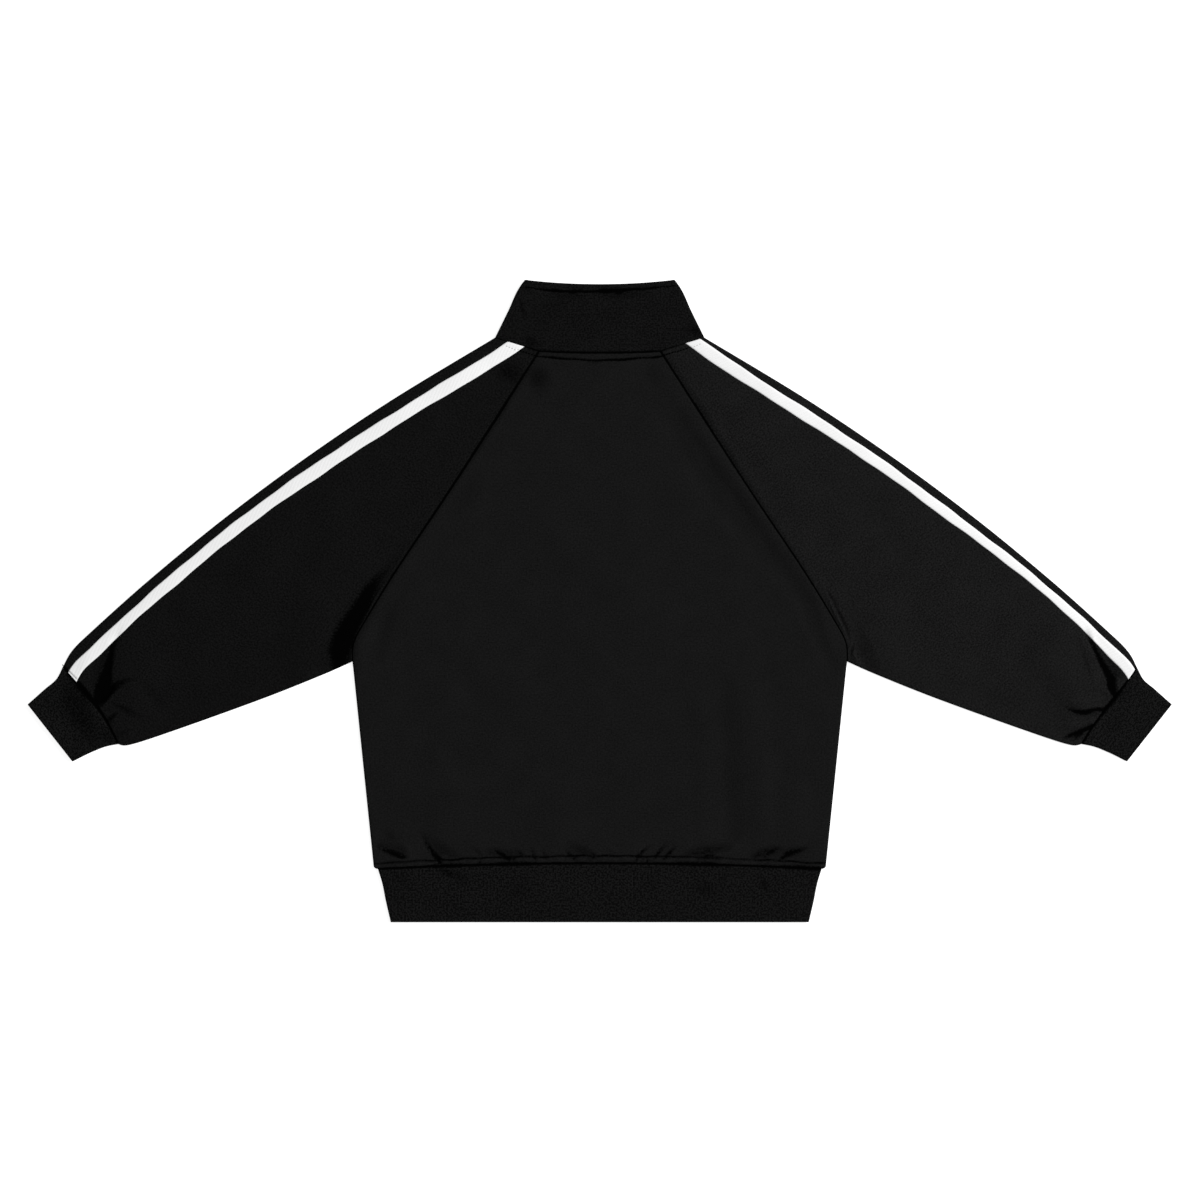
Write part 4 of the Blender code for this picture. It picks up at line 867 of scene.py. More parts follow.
def mesh_object(name, verts, faces, material, grain=0.0):
    """An object from points in millimetres and quads, with a plan map turned along its knit."""
    if not faces_outwards(verts, faces):
        faces = faces[:, ::-1]
    mesh = bpy.data.meshes.new(name)
    mesh.vertices.add(len(verts))
    mesh.vertices.foreach_set("co", (verts * MM).ravel())
    mesh.loops.add(faces.size)
    mesh.loops.foreach_set("vertex_index", faces.ravel().astype(np.int32))
    mesh.polygons.add(len(faces))
    mesh.polygons.foreach_set("loop_start", np.arange(0, faces.size, 4, dtype=np.int32))
    mesh.update(calc_edges=True)
    mesh.materials.append(material)
    mesh.shade_smooth()
    mesh.set_sharp_from_angle(angle=math.radians(SHARP_ANGLE))
    c, s = math.cos(grain), math.sin(grain)
    plan = np.stack([verts[:, 0] * c + verts[:, 1] * s, verts[:, 1] * c - verts[:, 0] * s], axis=1)
    layer = mesh.uv_layers.new(name="knit")
    layer.data.foreach_set("uv", (plan[faces.ravel()] * MM).astype(np.float32).ravel())
    return link(name, mesh)


def link(name, data):
    """An object for a mesh or a light."""
    obj = bpy.data.objects.new(name, data)
    bpy.context.scene.collection.objects.link(obj)
    return obj


def ring_mesh(name, bodies, material):
    """One mesh of many small closed bodies, each a stack of rings of six points."""
    verts, faces = [], []
    for rings in bodies:
        first = 6 * len(verts)
        verts += rings
        last = first + 6 * (len(rings) - 1)
        for ring in range(first, last, 6):
            for k in range(6):
                a, b = ring + k, ring + (k + 1) % 6
                faces.append((a, b, b + 6, a + 6))
        faces.append((first + 3, first + 2, first + 1, first))
        faces.append((first + 5, first + 4, first + 3, first))
        faces.append((last, last + 1, last + 2, last + 3))
        faces.append((last, last + 3, last + 4, last + 5))
    return mesh_object(name, np.array(verts).reshape(-1, 3), np.array(faces), material)


# share of a stitch's length, then its lift and its radius there in radii of the thread
STITCH = [(0.0, -0.9, 0.35), (0.18, -0.1, 0.9), (0.5, 0.25, 1.0), (0.82, -0.1, 0.9),
          (1.0, -0.9, 0.35)]


def thread_mesh(name, stitches, material, radius):
    """Small sewn stitches, each a short six-sided bar that dips into the cloth at its ends."""
    circle = [(math.cos(a), math.sin(a)) for a in np.radians(np.arange(0, 360, 60))]
    bodies = []
    for start, end in stitches:
        along = (end - start) / np.linalg.norm(end - start)
        aside = np.cross(along, (0.0, 0.0, 1.0))
        aside /= np.linalg.norm(aside)
        up = np.cross(aside, along)
        rings = []
        for share, lift, size in STITCH:
            centre = start + (end - start) * share + up * lift * radius
            rings.append([centre + radius * size * (aside * c + up * s) for c, s in circle])
        bodies.append(rings)
    return ring_mesh(name, bodies, material)


def stitch_ends(path, height, pitch=3.6, length=2.2):
    """Ends of the stitches along a plan path that lies on a layer."""
    path = np.array(path, dtype=float)
    run = np.concatenate([[0.0], np.cumsum(np.hypot(*np.diff(path, axis=0).T))])
    starts = np.arange(0.4, run[-1] - length, pitch)
    ends = []
    for distances in (starts, starts + length):
        x = np.interp(distances, run, path[:, 0])
        y = np.interp(distances, run, path[:, 1])
        ends.append(np.stack([x, y, height(x, y)], axis=1))
    return list(zip(ends[0], ends[1]))


# ---- materials -------------------------------------------------------------------------------

# near black that is painted as shade in troughs and seams
PAINTED_SHADE_BLACK = 0.0008
FRAY = 42.0                          # how ragged the edge of the painted shade in a trough is
CLOTH_ROUGHNESS = 0.75
CLOTH_GLOSS = 0.018
KNIT_TONES = (0.35, 1.65)            # the darkest and the lightest grain, in shares of the tone
COURSES = 1.15                       # per wale, in plain knit
RIB_COURSES = 0.55


def grey(tone):
    """A neutral colour."""
    return (tone, tone, tone, 1.0)


class Nodes:
    """Short calls to build a material's node tree."""

    def __init__(self, name):
        self.material = bpy.data.materials.new(name)
        self.material.use_nodes = True
        self.tree = self.material.node_tree
        self.shader = self.tree.nodes["Principled BSDF"]

    def add(self, kind, settings=None, **inputs):
        """A node with settings and input values or links."""
        node = self.tree.nodes.new(kind)
        for key, value in (settings or {}).items():
            setattr(node, key, value)
        for key, value in inputs.items():
            self.put(node.inputs[key.replace("_", " ")], value)
        return node

    def put(self, socket, value):
        """A value or a link into a socket."""
        if isinstance(value, bpy.types.NodeSocket):
            self.tree.links.new(value, socket)
        else:
            socket.default_value = value

    def math(self, operation, a, b=0.0, clamp=False):
        """A math node's result."""
        node = self.add("ShaderNodeMath", {"operation": operation, "use_clamp": clamp})
        self.put(node.inputs[0], a)
        self.put(node.inputs[1], b)
        return node.outputs[0]

    def plus(self, a, b, clamp=False):
        """The sum of two values."""
        return self.math("ADD", a, b, clamp)

    def times(self, a, b):
        """The product of two values."""
        return self.math("MULTIPLY", a, b)

    def centred(self, value, strength):
        """A value from 0 to 1 moved to lie about zero, times a strength."""
        return self.times(self.math("SUBTRACT", value, 0.5), strength)

    def noise(self, place, scale, detail, roughness=0.5):
        """Noise from 0 to 1."""
        return self.add("ShaderNodeTexNoise", Vector=place, Scale=scale, Detail=detail,
                        Roughness=roughness).outputs[0]

    def blend(self, share, a, b):
        """A colour between two colours."""
        node = self.add("ShaderNodeMix", {"data_type": "RGBA"})
        for socket, value in ((0, share), (6, a), (7, b)):
            self.put(node.inputs[socket], value)
        return node.outputs[2]

    def bump(self, strength, distance, height):
        """A normal bent by a relief."""
        node = self.add("ShaderNodeBump", Strength=strength, Distance=distance, Height=height)
        return node.outputs[0]

    def plan(self):
        """The place on the flat cloth, in metres, with its second axis along the knit."""
        return self.add("ShaderNodeUVMap", {"uv_map": "knit"}).outputs[0]

    def set(self, **values):
        """Values or links of the Principled shader."""
        for key, value in values.items():
            self.put(self.shader.inputs[key.replace("_", " ")], value)


def knit_material(name, tone, grain_depth, mottle_depth, pitch=1.2, rib=False, bump=0.22):
    """Knit cloth: wales and courses in relief, grain in its colour, painted black shade in its
    troughs.
    """
    n = Nodes(name)
    place = n.plan()
    across, along = n.add("ShaderNodeSeparateXYZ", Vector=place).outputs[:2]
    turn = 2.0 * math.pi / (pitch * MM)
    wale = n.math("SINE", n.times(across, turn))
    course = n.math("SINE", n.times(along, turn * (RIB_COURSES if rib else COURSES)))
    if rib:
        loops = n.plus(n.times(wale, 0.8), n.times(course, 0.25))
    else:
        loops = n.times(n.math("ABSOLUTE", wale), n.plus(n.times(course, 0.25), 0.75))
    height = n.plus(loops, n.times(n.noise(place, 900.0, 3.0, 0.6), 0.9))
    light = n.plus(
        n.centred(n.noise(place, 470.0 if rib else 520.0, 2.0, 0.6), grain_depth),
        n.centred(n.noise(place, 30.0, 3.0, 0.6), mottle_depth),
    )
    # the rib is lighter on its wales and darker between them, as its relief would be lit: painted
    # highlight and painted shade
    if rib:
        light = n.plus(light, n.times(wale, 0.12))
    dark, pale = (grey(share * tone) for share in KNIT_TONES)
    cloth = n.blend(n.plus(light, 0.5, clamp=True), dark, pale)
    painted_shade = n.add("ShaderNodeAttribute", {"attribute_name": "painted_shade"}).outputs[2]
    # the knit's grain frays the edge between the painted shade of a trough and the lit cloth
    edge = n.times(n.math("POWER", painted_shade, 3.0), n.math("SUBTRACT", 1.0, painted_shade))
    fray = n.centred(n.noise(place, 340.0, 3.0, 0.7), n.times(edge, FRAY))
    painted_dark = n.plus(painted_shade, fray, clamp=True)
    # painted shade: the base colour goes to near black there, and the gloss goes with it
    gloss = n.times(n.math("SUBTRACT", 1.0, painted_dark), CLOTH_GLOSS)
    n.set(Base_Color=n.blend(painted_dark, cloth, grey(PAINTED_SHADE_BLACK)), Normal=n.bump(bump, 0.0004, height))
    n.set(Roughness=CLOTH_ROUGHNESS, Specular_IOR_Level=gloss)
    return n.material


def tape_material(name, tone, twill, roughness, gloss=0.3):
    """Woven tape: fine slanting ribs, and a little wear in its colour."""
    n = Nodes(name)
    place = n.plan()
    slant = {"wave_type": "BANDS", "bands_direction": "DIAGONAL"}
    wave = n.add("ShaderNodeTexWave", slant, Vector=place, Scale=twill, Distortion=0.6, Detail=1.0)
    height = n.plus(wave.outputs[1], n.times(n.noise(place, 1400.0, 2.0), 0.5))
    share = n.plus(n.times(n.noise(place, 60.0, 3.0), 0.6), n.times(wave.outputs[1], 0.3))
    n.set(Base_Color=n.blend(share, grey(0.9 * tone), grey(tone)))
    n.set(Normal=n.bump(0.35, 0.0003, height), Roughness=roughness, Specular_IOR_Level=gloss)
    return n.material


def hard_material(name, tone, metallic, roughness, scratch):
    """Metal or moulded plastic with fine scratches in its gloss."""
    n = Nodes(name)
    marks = n.noise(n.add("ShaderNodeTexCoord").outputs[3], scratch, 4.0, 0.6)
    rough = n.plus(n.times(marks, 0.25), roughness - 0.12)
    n.set(Base_Color=n.blend(marks, grey(0.75 * tone), grey(1.2 * tone)), Roughness=rough)
    n.set(Metallic=metallic, Normal=n.bump(0.15, 0.0001, marks))
    return n.material


# tone, then how strong its grain and its mottling are
knit = knit_material("black_knit", 0.0060, 1.8, 0.3)
# the left sleeve is darker and the right one lighter than the back because the light falls from the
# right: painted shade and painted light
sleeve_knit = {
    -1: knit_material("left_sleeve_knit_painted_shade", 0.0040, 3.6, 0.4),
    1: knit_material("right_sleeve_knit_painted_light", 0.0066, 3.0, 0.4),
}
collar_knit = knit_material("collar_knit", 0.0037, 6.0, 0.9)
rib = knit_material("black_rib", 0.0042, 20.0, 1.3, pitch=1.7, rib=True, bump=0.5)
# the right tape is a little darker than the left, against the stronger light on the right: painted
# shade
white_tape = {
    -1: tape_material("left_white_tape", 0.80, 260.0, 0.6),
    1: tape_material("right_white_tape_painted_shade", 0.75, 260.0, 0.6),
}
black_tape = tape_material("black_zip_tape", 0.012, 220.0, 0.7)
# the black thread is far darker than the black cloth, so its stitches show as the shade in their
# holes: real black thread with painted shade
black_thread_painted_shade = tape_material("black_thread_painted_shade", 0.0003, 900.0, 0.9, gloss=0.01)
grey_thread = tape_material("grey_thread", 0.42, 900.0, 0.5)
zip_plastic = hard_material("zip_plastic", 0.02, 0.0, 0.45, 900.0)
zip_steel = hard_material("zip_steel", 0.32, 1.0, 0.36, 1500.0)


# ---- the body --------------------------------------------------------------------------------

def ride(obj, node=None):
    """The piece moves with the jacket and, where a solid is named, stands in for it."""
    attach(obj, "jacket")
    if node:
        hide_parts(node)


def body_edges(raglan, neck_rise):
    """Rows of a body panel: its edge point, how far it turns over there, and its arch."""
    edges = []
    for share in graded(raglan.length, BODY_ROW_STEP, end=False, fine=NECK_ROWS):
        point = raglan.beside(share, -HALF_GAP)
        if share == 0.0:
            point = move(point, DOWN, HALF_GAP)
        edges.append((point, 0.0, mix(neck_rise, HEM_SEAM_RISE, share)))
    length = ARMPIT[1] - HEM_SEAM_SIDE[1]
    (zone, step), (near, near_step) = HEM_ZONES
    overs = [*np.arange(length, zone, -BODY_ROW_STEP)[1:], *np.arange(zone, near, -step)]
    overs += [near - near_step * i for i in range(int(near / near_step) + 1)] + [0.0]
    for share in [1.0 - over / length for over in overs]:
        point = mix(ARMPIT, HEM_SEAM_SIDE, share)
        if share == 1.0:
            point = move(point, UP, HALF_GAP)
        corner = max(1.0 - (1.0 - share) * length / HEM_CORNER, 0.0)
        point = move(point, INWARD, 0.9 * HEM_CORNER * corner ** 3)
        edges.append((point, min(share * length / BODY_TURNED, 1.0), HEM_SEAM_RISE))
    return edges


def back_rows():
    """Rows of the back panel."""
    rows = []
    columns = int(round(ARMPIT[0] / BACK_STEP))
    for edge, turned, rise in body_edges(back_raglan, BACK_NECK_RISE):
        flat_to = edge[0] - EDGE_ROUND
        half = [flat_station((flat_to * column / columns, edge[1])) for column in range(columns)]
        half += [edge_station(edge, INWARD, -angle, CLOTH, turned) for angle in SEAM_ANGLES]
        half = arched_row(half, edge[0], rise)
        rows.append(flipped(half[1:]) + half)
    return rows


def front_rows():
    """Rows of a front panel: all of them at the neck, and every second one below."""
    rows = []
    edges = body_edges(front_raglan, FRONT_NECK_RISE)
    for number, (edge, turned, rise) in enumerate(edges):
        if number % 2 and len(NEAR_SEAM) <= number < len(edges) - 1:
            continue
        row = []
        for column in range(FRONT_COLUMNS):
            x = mix(FRONT_EDGE, edge[0] - EDGE_ROUND, column / FRONT_COLUMNS)
            row.append(flat_station((x, edge[1]), 180.0))
        row += [edge_station(edge, INWARD, 180.0 + angle, CLOTH, turned) for angle in SEAM_ANGLES]
        rows.append(arched_row(row, edge[0], rise))
    return rows


def neck_stitch(x):
    """Height up the jacket of the line of stitches under the neck seam."""
    down = 6.6 + 2.8 * math.exp(-((x / 46.0) ** 2)) - 0.3 * math.sin(x / 6.0)
    return neck_line(abs(x), BACK_RAGLAN_TOP, BACK_NECK_RISE) - down


def top_stitch(x):
    """Height up the jacket of the collar's topstitch."""
    top = COLLAR_TOP + arch(x, COLLAR_SIDE[-1][1], COLLAR_TOP_RISE)
    return top - smooth_table(TOPSTITCH, x, 1) + 0.3 * math.sin(x / 5.0) + 0.2 * math.sin(x / 2.3)


# x, depth and half width of the groove that the stitches at the neck draw in, with painted shade
NECK_DRAWN = [(-120, 0.3, 1.4), (-76, 0.4, 1.4), (-66, 0.9, 1.9), (-50, 1.1, 2.2), (-30, 0.7, 1.8),
              (-8, 0.8, 1.9), (12, 1.0, 2.0), (30, 1.3, 2.4), (46, 0.9, 1.9), (60, 0.7, 1.6),
              (70, 1.2, 2.2), (78, 0.4, 1.4), (120, 0.3, 1.4)]
# x, drop from the top edge, depth, half width of the groove that the topstitch draws in, with painted
# shade
TOPSTITCH = [(-91, 9.2, 0.3, 1.2), (-76, 9.4, 0.5, 1.4), (-66, 9.8, 0.9, 2.2),
             (-58, 10.2, 1.2, 2.9), (-44, 10.0, 1.1, 2.4), (-28, 9.7, 1.1, 2.9),
             (-16, 9.4, 1.0, 2.0), (-8, 8.9, 1.1, 2.4), (2, 8.6, 1.3, 4.0), (24, 8.2, 1.3, 4.2),
             (34, 7.8, 1.2, 2.8), (46, 7.5, 1.0, 2.2), (58, 7.4, 0.9, 2.2), (68, 7.3, 0.7, 1.6),
             (78, 7.2, 0.4, 1.3), (90, 7.0, 0.3, 1.2)]
NECK_SEAM = [(x, neck_line(abs(x), BACK_RAGLAN_TOP, BACK_NECK_RISE)) for x in range(-128, 129, 4)]
NECK_STITCH = [(x, neck_stitch(x)) for x in range(-116, 117, 4)]
TOP_STITCH = [(x, top_stitch(x)) for x in range(-91, 92, 2)]
HEM_SEAM = [(x, hem_seam(x)) for x in range(-275, 276, 5)]
HEM_STITCH = [(x, hem_seam(x) + float(ridge_top(x))) for x in range(-264, 265, 4)]

neck_groove = seam_fold(NECK_SEAM, (0.35, 0.6, 1.2, 1.2, 1.2, 1.2, 1.2, 0.6, 0.35),
                        (1.0, 1.2, 1.7, 1.8, 1.7, 1.9, 1.7, 1.2, 1.0))
neck_drawn = []
for x, y in NECK_STITCH:
    neck_drawn.append((x, y, -read_table(NECK_DRAWN, x, 1), read_table(NECK_DRAWN, x, 2)))
body_seams = [
    neck_groove,
    seam_fold(RAGLAN_LEFT, 1.2, (1.6, 2.2, 1.9, 1.8, 1.5, 1.2, 0.8)),
    seam_fold(RAGLAN_RIGHT, 1.2, (1.9, 1.7, 1.3, 1.2, 1.3, 1.1, 0.9)),
    seam_bank(RAGLAN_LEFT, (0.5, 0.9, 0.7, 0.6, 0.4, 0.2), (6.0, 7.0, 6.0, 5.0, 5.0, 4.0), 0.4),
    seam_bank(RAGLAN_RIGHT, (0.7, 1.1, 0.9, 0.6, 0.4, 0.2), (8.0, 10.0, 8.0, 6.0, 5.0, 4.0), 0.45),
    (DEEP, neck_drawn, 1.35),
]
top_drawn = []
for x, y in TOP_STITCH:
    width = read_table(TOPSTITCH, x, 3) * (1.0 + 0.15 * math.sin(x / 3.1))
    top_drawn.append((x, y, -read_table(TOPSTITCH, x, 2), width))
collar_seams = [(DEEP, top_drawn, 1.5), neck_groove]
# the hem seam's painted shade is wider where the painted shadow under the turned edge reaches higher
hem_widths = [1.9 + 0.4 * read_table(HEM_LINES, x, 2) for x, y in HEM_SEAM]

back_layers = Layers(BACK_INSIDE, CLOTH, BACK_FOLDS + body_seams, 1.0, on_body=True)
collar_layers = Layers(COLLAR_INSIDE, COLLAR_WALL, COLLAR_FOLDS + collar_seams, 0.35)
hem_layers = Layers(RIB_INSIDE, RIB_WALL, HEM_FOLDS + [seam_fold(HEM_SEAM, 1.4, hem_widths)], 0.5)

back = shell_mesh("back_cloth", back_rows(), back_layers, knit)
ride(back, "back_panel")

for side, hand in SIDES:
    front = shell_mesh(f"front_{hand}_cloth", front_rows(), back_layers, knit, side=side)
    ride(front, "front_" + hand)


# ---- sleeves and stripes ---------------------------------------------------------------------

def sleeve_frames():
    """Rows of a sleeve: seam points above and below, fold point, turned, share of length."""
    frames = []
    for share in graded(back_raglan.length, SLEEVE_ROW_STEP, end=False, fine=NECK_ROWS):
        along = SLEEVE_AT_ARMPIT * share
        above, below = (raglan.beside(share, HALF_GAP) for raglan in (back_raglan, front_raglan))
        frames.append((above, below, overarm.at(along), 0.0, along))
    length = underarm.length
    smooth = length - GATHERED
    plain = [SLEEVE_ROW_STEP * i / length for i in range(1, int(smooth / SLEEVE_ROW_STEP))]
    fine = [(smooth + GATHERED * s) / length for s in graded(GATHERED, GATHERED_STEP, start=False)]
    for share in plain + fine:
        foot = underarm.at(share)
        along = mix(SLEEVE_AT_ARMPIT, 1.0, share)
        turned = min(share * length / SLEEVE_TURNED, 1.0)
        frames.append((foot, foot, overarm.at(along), turned, along))
    return frames


def stripe_wander(share, side):
    """The tape's edges wander a little."""
    return 0.35 * math.sin(share * 41.0 + side) + 0.2 * math.sin(share * 97.0 + 2.0 * side)


def stripe_stations(share, side):
    """Distances of the stripe's columns from the overarm fold."""
    column = 1 if side < 0 else 3
    near = smooth_table(STRIPE, share, column) + stripe_wander(share, side)
    far = smooth_table(STRIPE, share, column + 1) + stripe_wander(share + 0.4, side)
    return [mix(far, near, part) for part in STRIPE_SHARES]


def sleeve_row(frame_row, side):
    """Stations from the seam over the sleeve's back, round the fold and under to the seam."""
    above, below, top, turned, share = frame_row
    up, down = heading(above, top), heading(top, below)
    stripe = stripe_stations(share, side)
    row = [edge_station(above, up, -angle, CLOTH, turned) for angle in reversed(SEAM_ANGLES)]
    span = math.dist(above, top) - stripe[0]
    for column in range(1, SLEEVE_COLUMNS):
        part = (column / SLEEVE_COLUMNS) ** CROWDING
        row.append(flat_station(move(above, up, mix(EDGE_ROUND, span, part))))
    row += [flat_station(move(top, up, -distance)) for distance in stripe]
    row += fold_stations(top, reverse(up), down, CLOTH)
    span = math.dist(top, below) - EDGE_ROUND
    for column in range(1, SLEEVE_UNDER_COLUMNS):
        part = column / SLEEVE_UNDER_COLUMNS
        row.append(flat_station(move(top, down, mix(EDGE_ROUND, span, part)), 180.0))
    for angle in SEAM_ANGLES:
        row.append(edge_station(below, reverse(down), 180.0 + angle, CLOTH, turned))
    return row


def seam_bow(point, angle, side):
    """How far out along the sleeve a cuff's seam bows, on the upper layer only."""
    if math.cos(math.radians(angle)) < 0.1:
        return 0.0
    share = math.dist(point, CUFF_SEAM_TOP) / math.dist(CUFF_SEAM_FOOT, CUFF_SEAM_TOP)
    middle, skew = CUFF_SEAM_BOW[side]
    return 4.0 * share * max(1.0 - share, 0.0) * (middle + skew * (2.0 * share - 1.0))


def bowed_row(row, side, bow, gap):
    """A row moved by a share of the seam's bow, and by a gap, along the sleeve."""
    return moved_row(row, CUFF_AXIS, lambda point, angle: bow * seam_bow(point, angle, side) + gap)


def sleeve_rows(side):
    """All rows of a sleeve, from the neck to the cuff."""
    frames = sleeve_frames()
    rows = []
    for number, frame_row in enumerate(frames):
        row = sleeve_row(frame_row, side)
        if number == 0:
            row = moved_row(row, heading(*OVERARM[:2]), lambda point, angle: SLEEVE_FROM_NECK)
        nearness = float(slope(frame_row[4], (SLEEVE_BOWED, 1.0 - SLEEVE_BOWED)))
        if nearness > 0.0:
            row = bowed_row(row, side, nearness, -HALF_GAP if number == len(frames) - 1 else 0.0)
        rows.append(row)
    return rows


def cuff_groove(side):
    """The groove of a cuff's seam, wide and with painted black shade where the cloth is gathered into
    it.
    """
    points = []
    for share in np.linspace(0.0, 1.0, 24):
        point = mix(CUFF_SEAM_TOP, CUFF_SEAM_FOOT, float(share))
        point = move(point, CUFF_AXIS, seam_bow(point, 0.0, side))
        points.append((side * point[0], point[1]))
    return seam_fold(points, 1.5, CUFF_GROOVE[side])


def stripe_object(name, rows, layers, side):
    """The tape's shell, on the sleeve's cloth, with rounded selvedges."""
    first = len(SEAM_ANGLES) + SLEEVE_COLUMNS - 1
    x, y = plan_grid([row[first:first + len(STRIPE_SHARES)] for row in rows], 0, side)
    foot = layers.upper(x, y)[0] + STRIPE_OFF_CLOTH
    across = np.abs(2.0 * np.array(STRIPE_SHARES) - 1.0)[None, :]
    thick = STRIPE_TAPE * np.clip(1.0 - across ** 10, 0.0, 1.0) ** 0.5
    grids = [np.dstack([x, y, foot + np.maximum(thick, STRIPE_SELVEDGE)]), np.dstack([x, y, foot])]
    return grid_object(name, grids, [0.0 * x, 0.0 * x], white_tape[side], grain=0.6 * side)


sleeve_layers = {}
for side, hand in SIDES:
    folds = SLEEVE_FOLDS[side] + body_seams + [cuff_groove(side)]
    layers = Layers(BACK_INSIDE, CLOTH, folds, 1.0, on_body=True)
    sleeve_layers[side] = layers
    rows = sleeve_rows(side)
    sleeve = shell_mesh(f"sleeve_{hand}_cloth", rows, layers, sleeve_knit[side], side=side,
                        grain=0.62 * side)
    ride(sleeve, "sleeve_" + hand)
    stripe = stripe_object(f"stripe_{hand}_tape", rows, layers, side)
    ride(stripe, "stripe_" + hand)


# ---- collar, hem band and cuffs --------------------------------------------------------------

def collar_points(columns, share, gap, table, raglan_top, neck_rise, top_rise):
    """Points of the collar at some x of its neck seam, a share of the way up from it."""
    points = []
    for x in columns:
        top_x = read_table(table, x, 1)
        neck = (x, neck_line(x, raglan_top, neck_rise))
        top = (top_x, COLLAR_TOP + arch(top_x, COLLAR_SIDE[-1][1], top_rise))
        points.append(move(mix(neck, top, share), UP, gap))
    return points


def band_ends(length, step, thickness, fine=()):
    """Shares along a band from a seam to a folded end, and how far its wall closes there."""
    shares = graded(length, step, end=False)[:-1]
    if fine:
        first, last, close = fine
        shares = [s for s in shares if not first < length * (1.0 - s) < last]
        shares = sorted(shares + [1.0 - d / length for d in np.arange(first, last, close)])
    ends = [(s, 0.0) for s in shares if s * length < length - thickness - 0.4]
    for angle in SEAM_ANGLES:
        closing = math.sin(math.radians(angle))
        ends.append((1.0 - thickness * (1.0 - closing) / length, min(closing, 0.995)))
    return ends


def band_mesh(name, ends, row_at, layers, material, **how):
    """The shell of a folded band; row_at makes its row from a share of the way and a gap."""
    rows = [row_at(share, HALF_GAP if share == 0.0 else 0.0) for share, closing in ends]
    pinches = [closing for share, closing in ends]
    return shell_mesh(name, rows, layers, material, pinches=pinches, **how)


def collar_row(share, gap):
    """Stations of the stand collar, one doubled band that is open at the front zip."""
    back_out = heading(BACK_RAGLAN_TOP, NECK_POINT)
    front_out = heading(FRONT_RAGLAN_TOP, NECK_POINT)
    top_out = heading((0.0, 0.0), (1.0, -2.0 * COLLAR_FRONT_RISE / COLLAR_SIDE[-1][1]))
    edge = (smooth_table(COLLAR_SIDE, share, 1), mix(NECK_POINT[1], COLLAR_TOP, share) + gap)
    above = heading((0.0, 0.0), mix(back_out, (1.0, 0.0), share))
    below = heading((0.0, 0.0), mix(front_out, top_out, share))
    columns = [COLLAR_BACK[-1][0] * c / BACK_COLLAR_COLUMNS for c in range(BACK_COLLAR_COLUMNS)]
    row = [flat_station(point) for point in collar_points(
        columns, share, gap, COLLAR_BACK, BACK_RAGLAN_TOP, BACK_NECK_RISE, COLLAR_TOP_RISE)]
    row += fold_stations(edge, reverse(above), reverse(below), COLLAR_WALL)
    row += [flat_station(point, 180.0) for point in collar_points(
        COLLAR_FRONT_COLUMNS, share, gap, COLLAR_FRONT, FRONT_RAGLAN_TOP, FRONT_NECK_RISE,
        COLLAR_FRONT_RISE)]
    return flipped(row[1:]) + row


def hem_row(share, gap):
    """Stations of the rib band round the hem, folded double and open at the front zip."""
    edge = smooth_table(HEM_SIDE, share, 1)
    back = [(edge - EDGE_ROUND) * c / HEM_COLUMNS for c in range(HEM_COLUMNS)]
    front = [mix(edge - 8.0, 20.0, c / 24.0) for c in range(25)] + [18.0, ZIP_SINGLE, FRONT_EDGE]
    row = [flat_station((x, HEM_FOOT)) for x in back]
    row += fold_stations((edge, HEM_FOOT), INWARD, INWARD, RIB_WALL)
    row += [flat_station((x, HEM_FOOT), 180.0) for x in front]
    row = moved_row(row, UP, lambda p, angle: (1.0 - share) * (hem_seam(p[0]) - HEM_FOOT) - gap)
    return flipped(row[1:]) + row


def cuff_row(share, gap, side):
    """Stations all round a cuff."""
    top = mix(CUFF_SEAM_TOP, CUFF_END_TOP, share)
    foot = mix(CUFF_SEAM_FOOT, CUFF_END_FOOT, share)
    down = heading(top, foot)
    top = move(top, down, smooth_table(CUFF_WAIST, share, 1))
    foot = move(foot, reverse(down), smooth_table(CUFF_WAIST, share, 2))
    span = math.dist(top, foot) - EDGE_ROUND
    parts = [column / CUFF_COLUMNS for column in range(1, CUFF_COLUMNS)]
    across = [move(top, down, mix(EDGE_ROUND, span, part)) for part in parts]
    row = fold_stations(top, down, down, RIB_WALL)
    row += [flat_station(point, 180.0) for point in across]
    row += [edge_station(foot, reverse(down), 180.0 + angle, RIB_WALL) for angle in FOLD_ANGLES]
    row += [flat_station(point) for point in reversed(across)]
    return bowed_row(row, side, 1.0 - float(slope(share, (0.0, 0.5))), gap)


collar_ends = band_ends(COLLAR_TOP - NECK_POINT[1], 2.2, 0.5 * COLLAR_WALL, TOPSTITCH_ROWS)
collar = band_mesh("collar_cloth", collar_ends, collar_row, collar_layers, collar_knit)
ride(collar, "collar")

hem_ends = band_ends(HEM_SEAM_SIDE[1] - HEM_FOOT, 3.0, 0.5 * RIB_WALL)
hem_band = band_mesh("hem_band_rib", hem_ends, hem_row, hem_layers, rib)
ride(hem_band, "hem_band")

for side, hand in SIDES:
    ends = band_ends(math.dist(CUFF_SEAM_FOOT, CUFF_END_FOOT), CUFF_ROW_STEP, 0.5 * RIB_WALL)
    layers = Layers(RIB_INSIDE, RIB_WALL, CUFF_FOLDS[side] + [cuff_groove(side)], 0.4)
    row_at = functools.partial(cuff_row, side=side)
    cuff = band_mesh(f"cuff_{hand}_rib", ends, row_at, layers, rib, side=side, closed=True,
                     grain=0.96 * side)
    ride(cuff, "cuff_" + hand)


# ---- sewing ----------------------------------------------------------------------------------

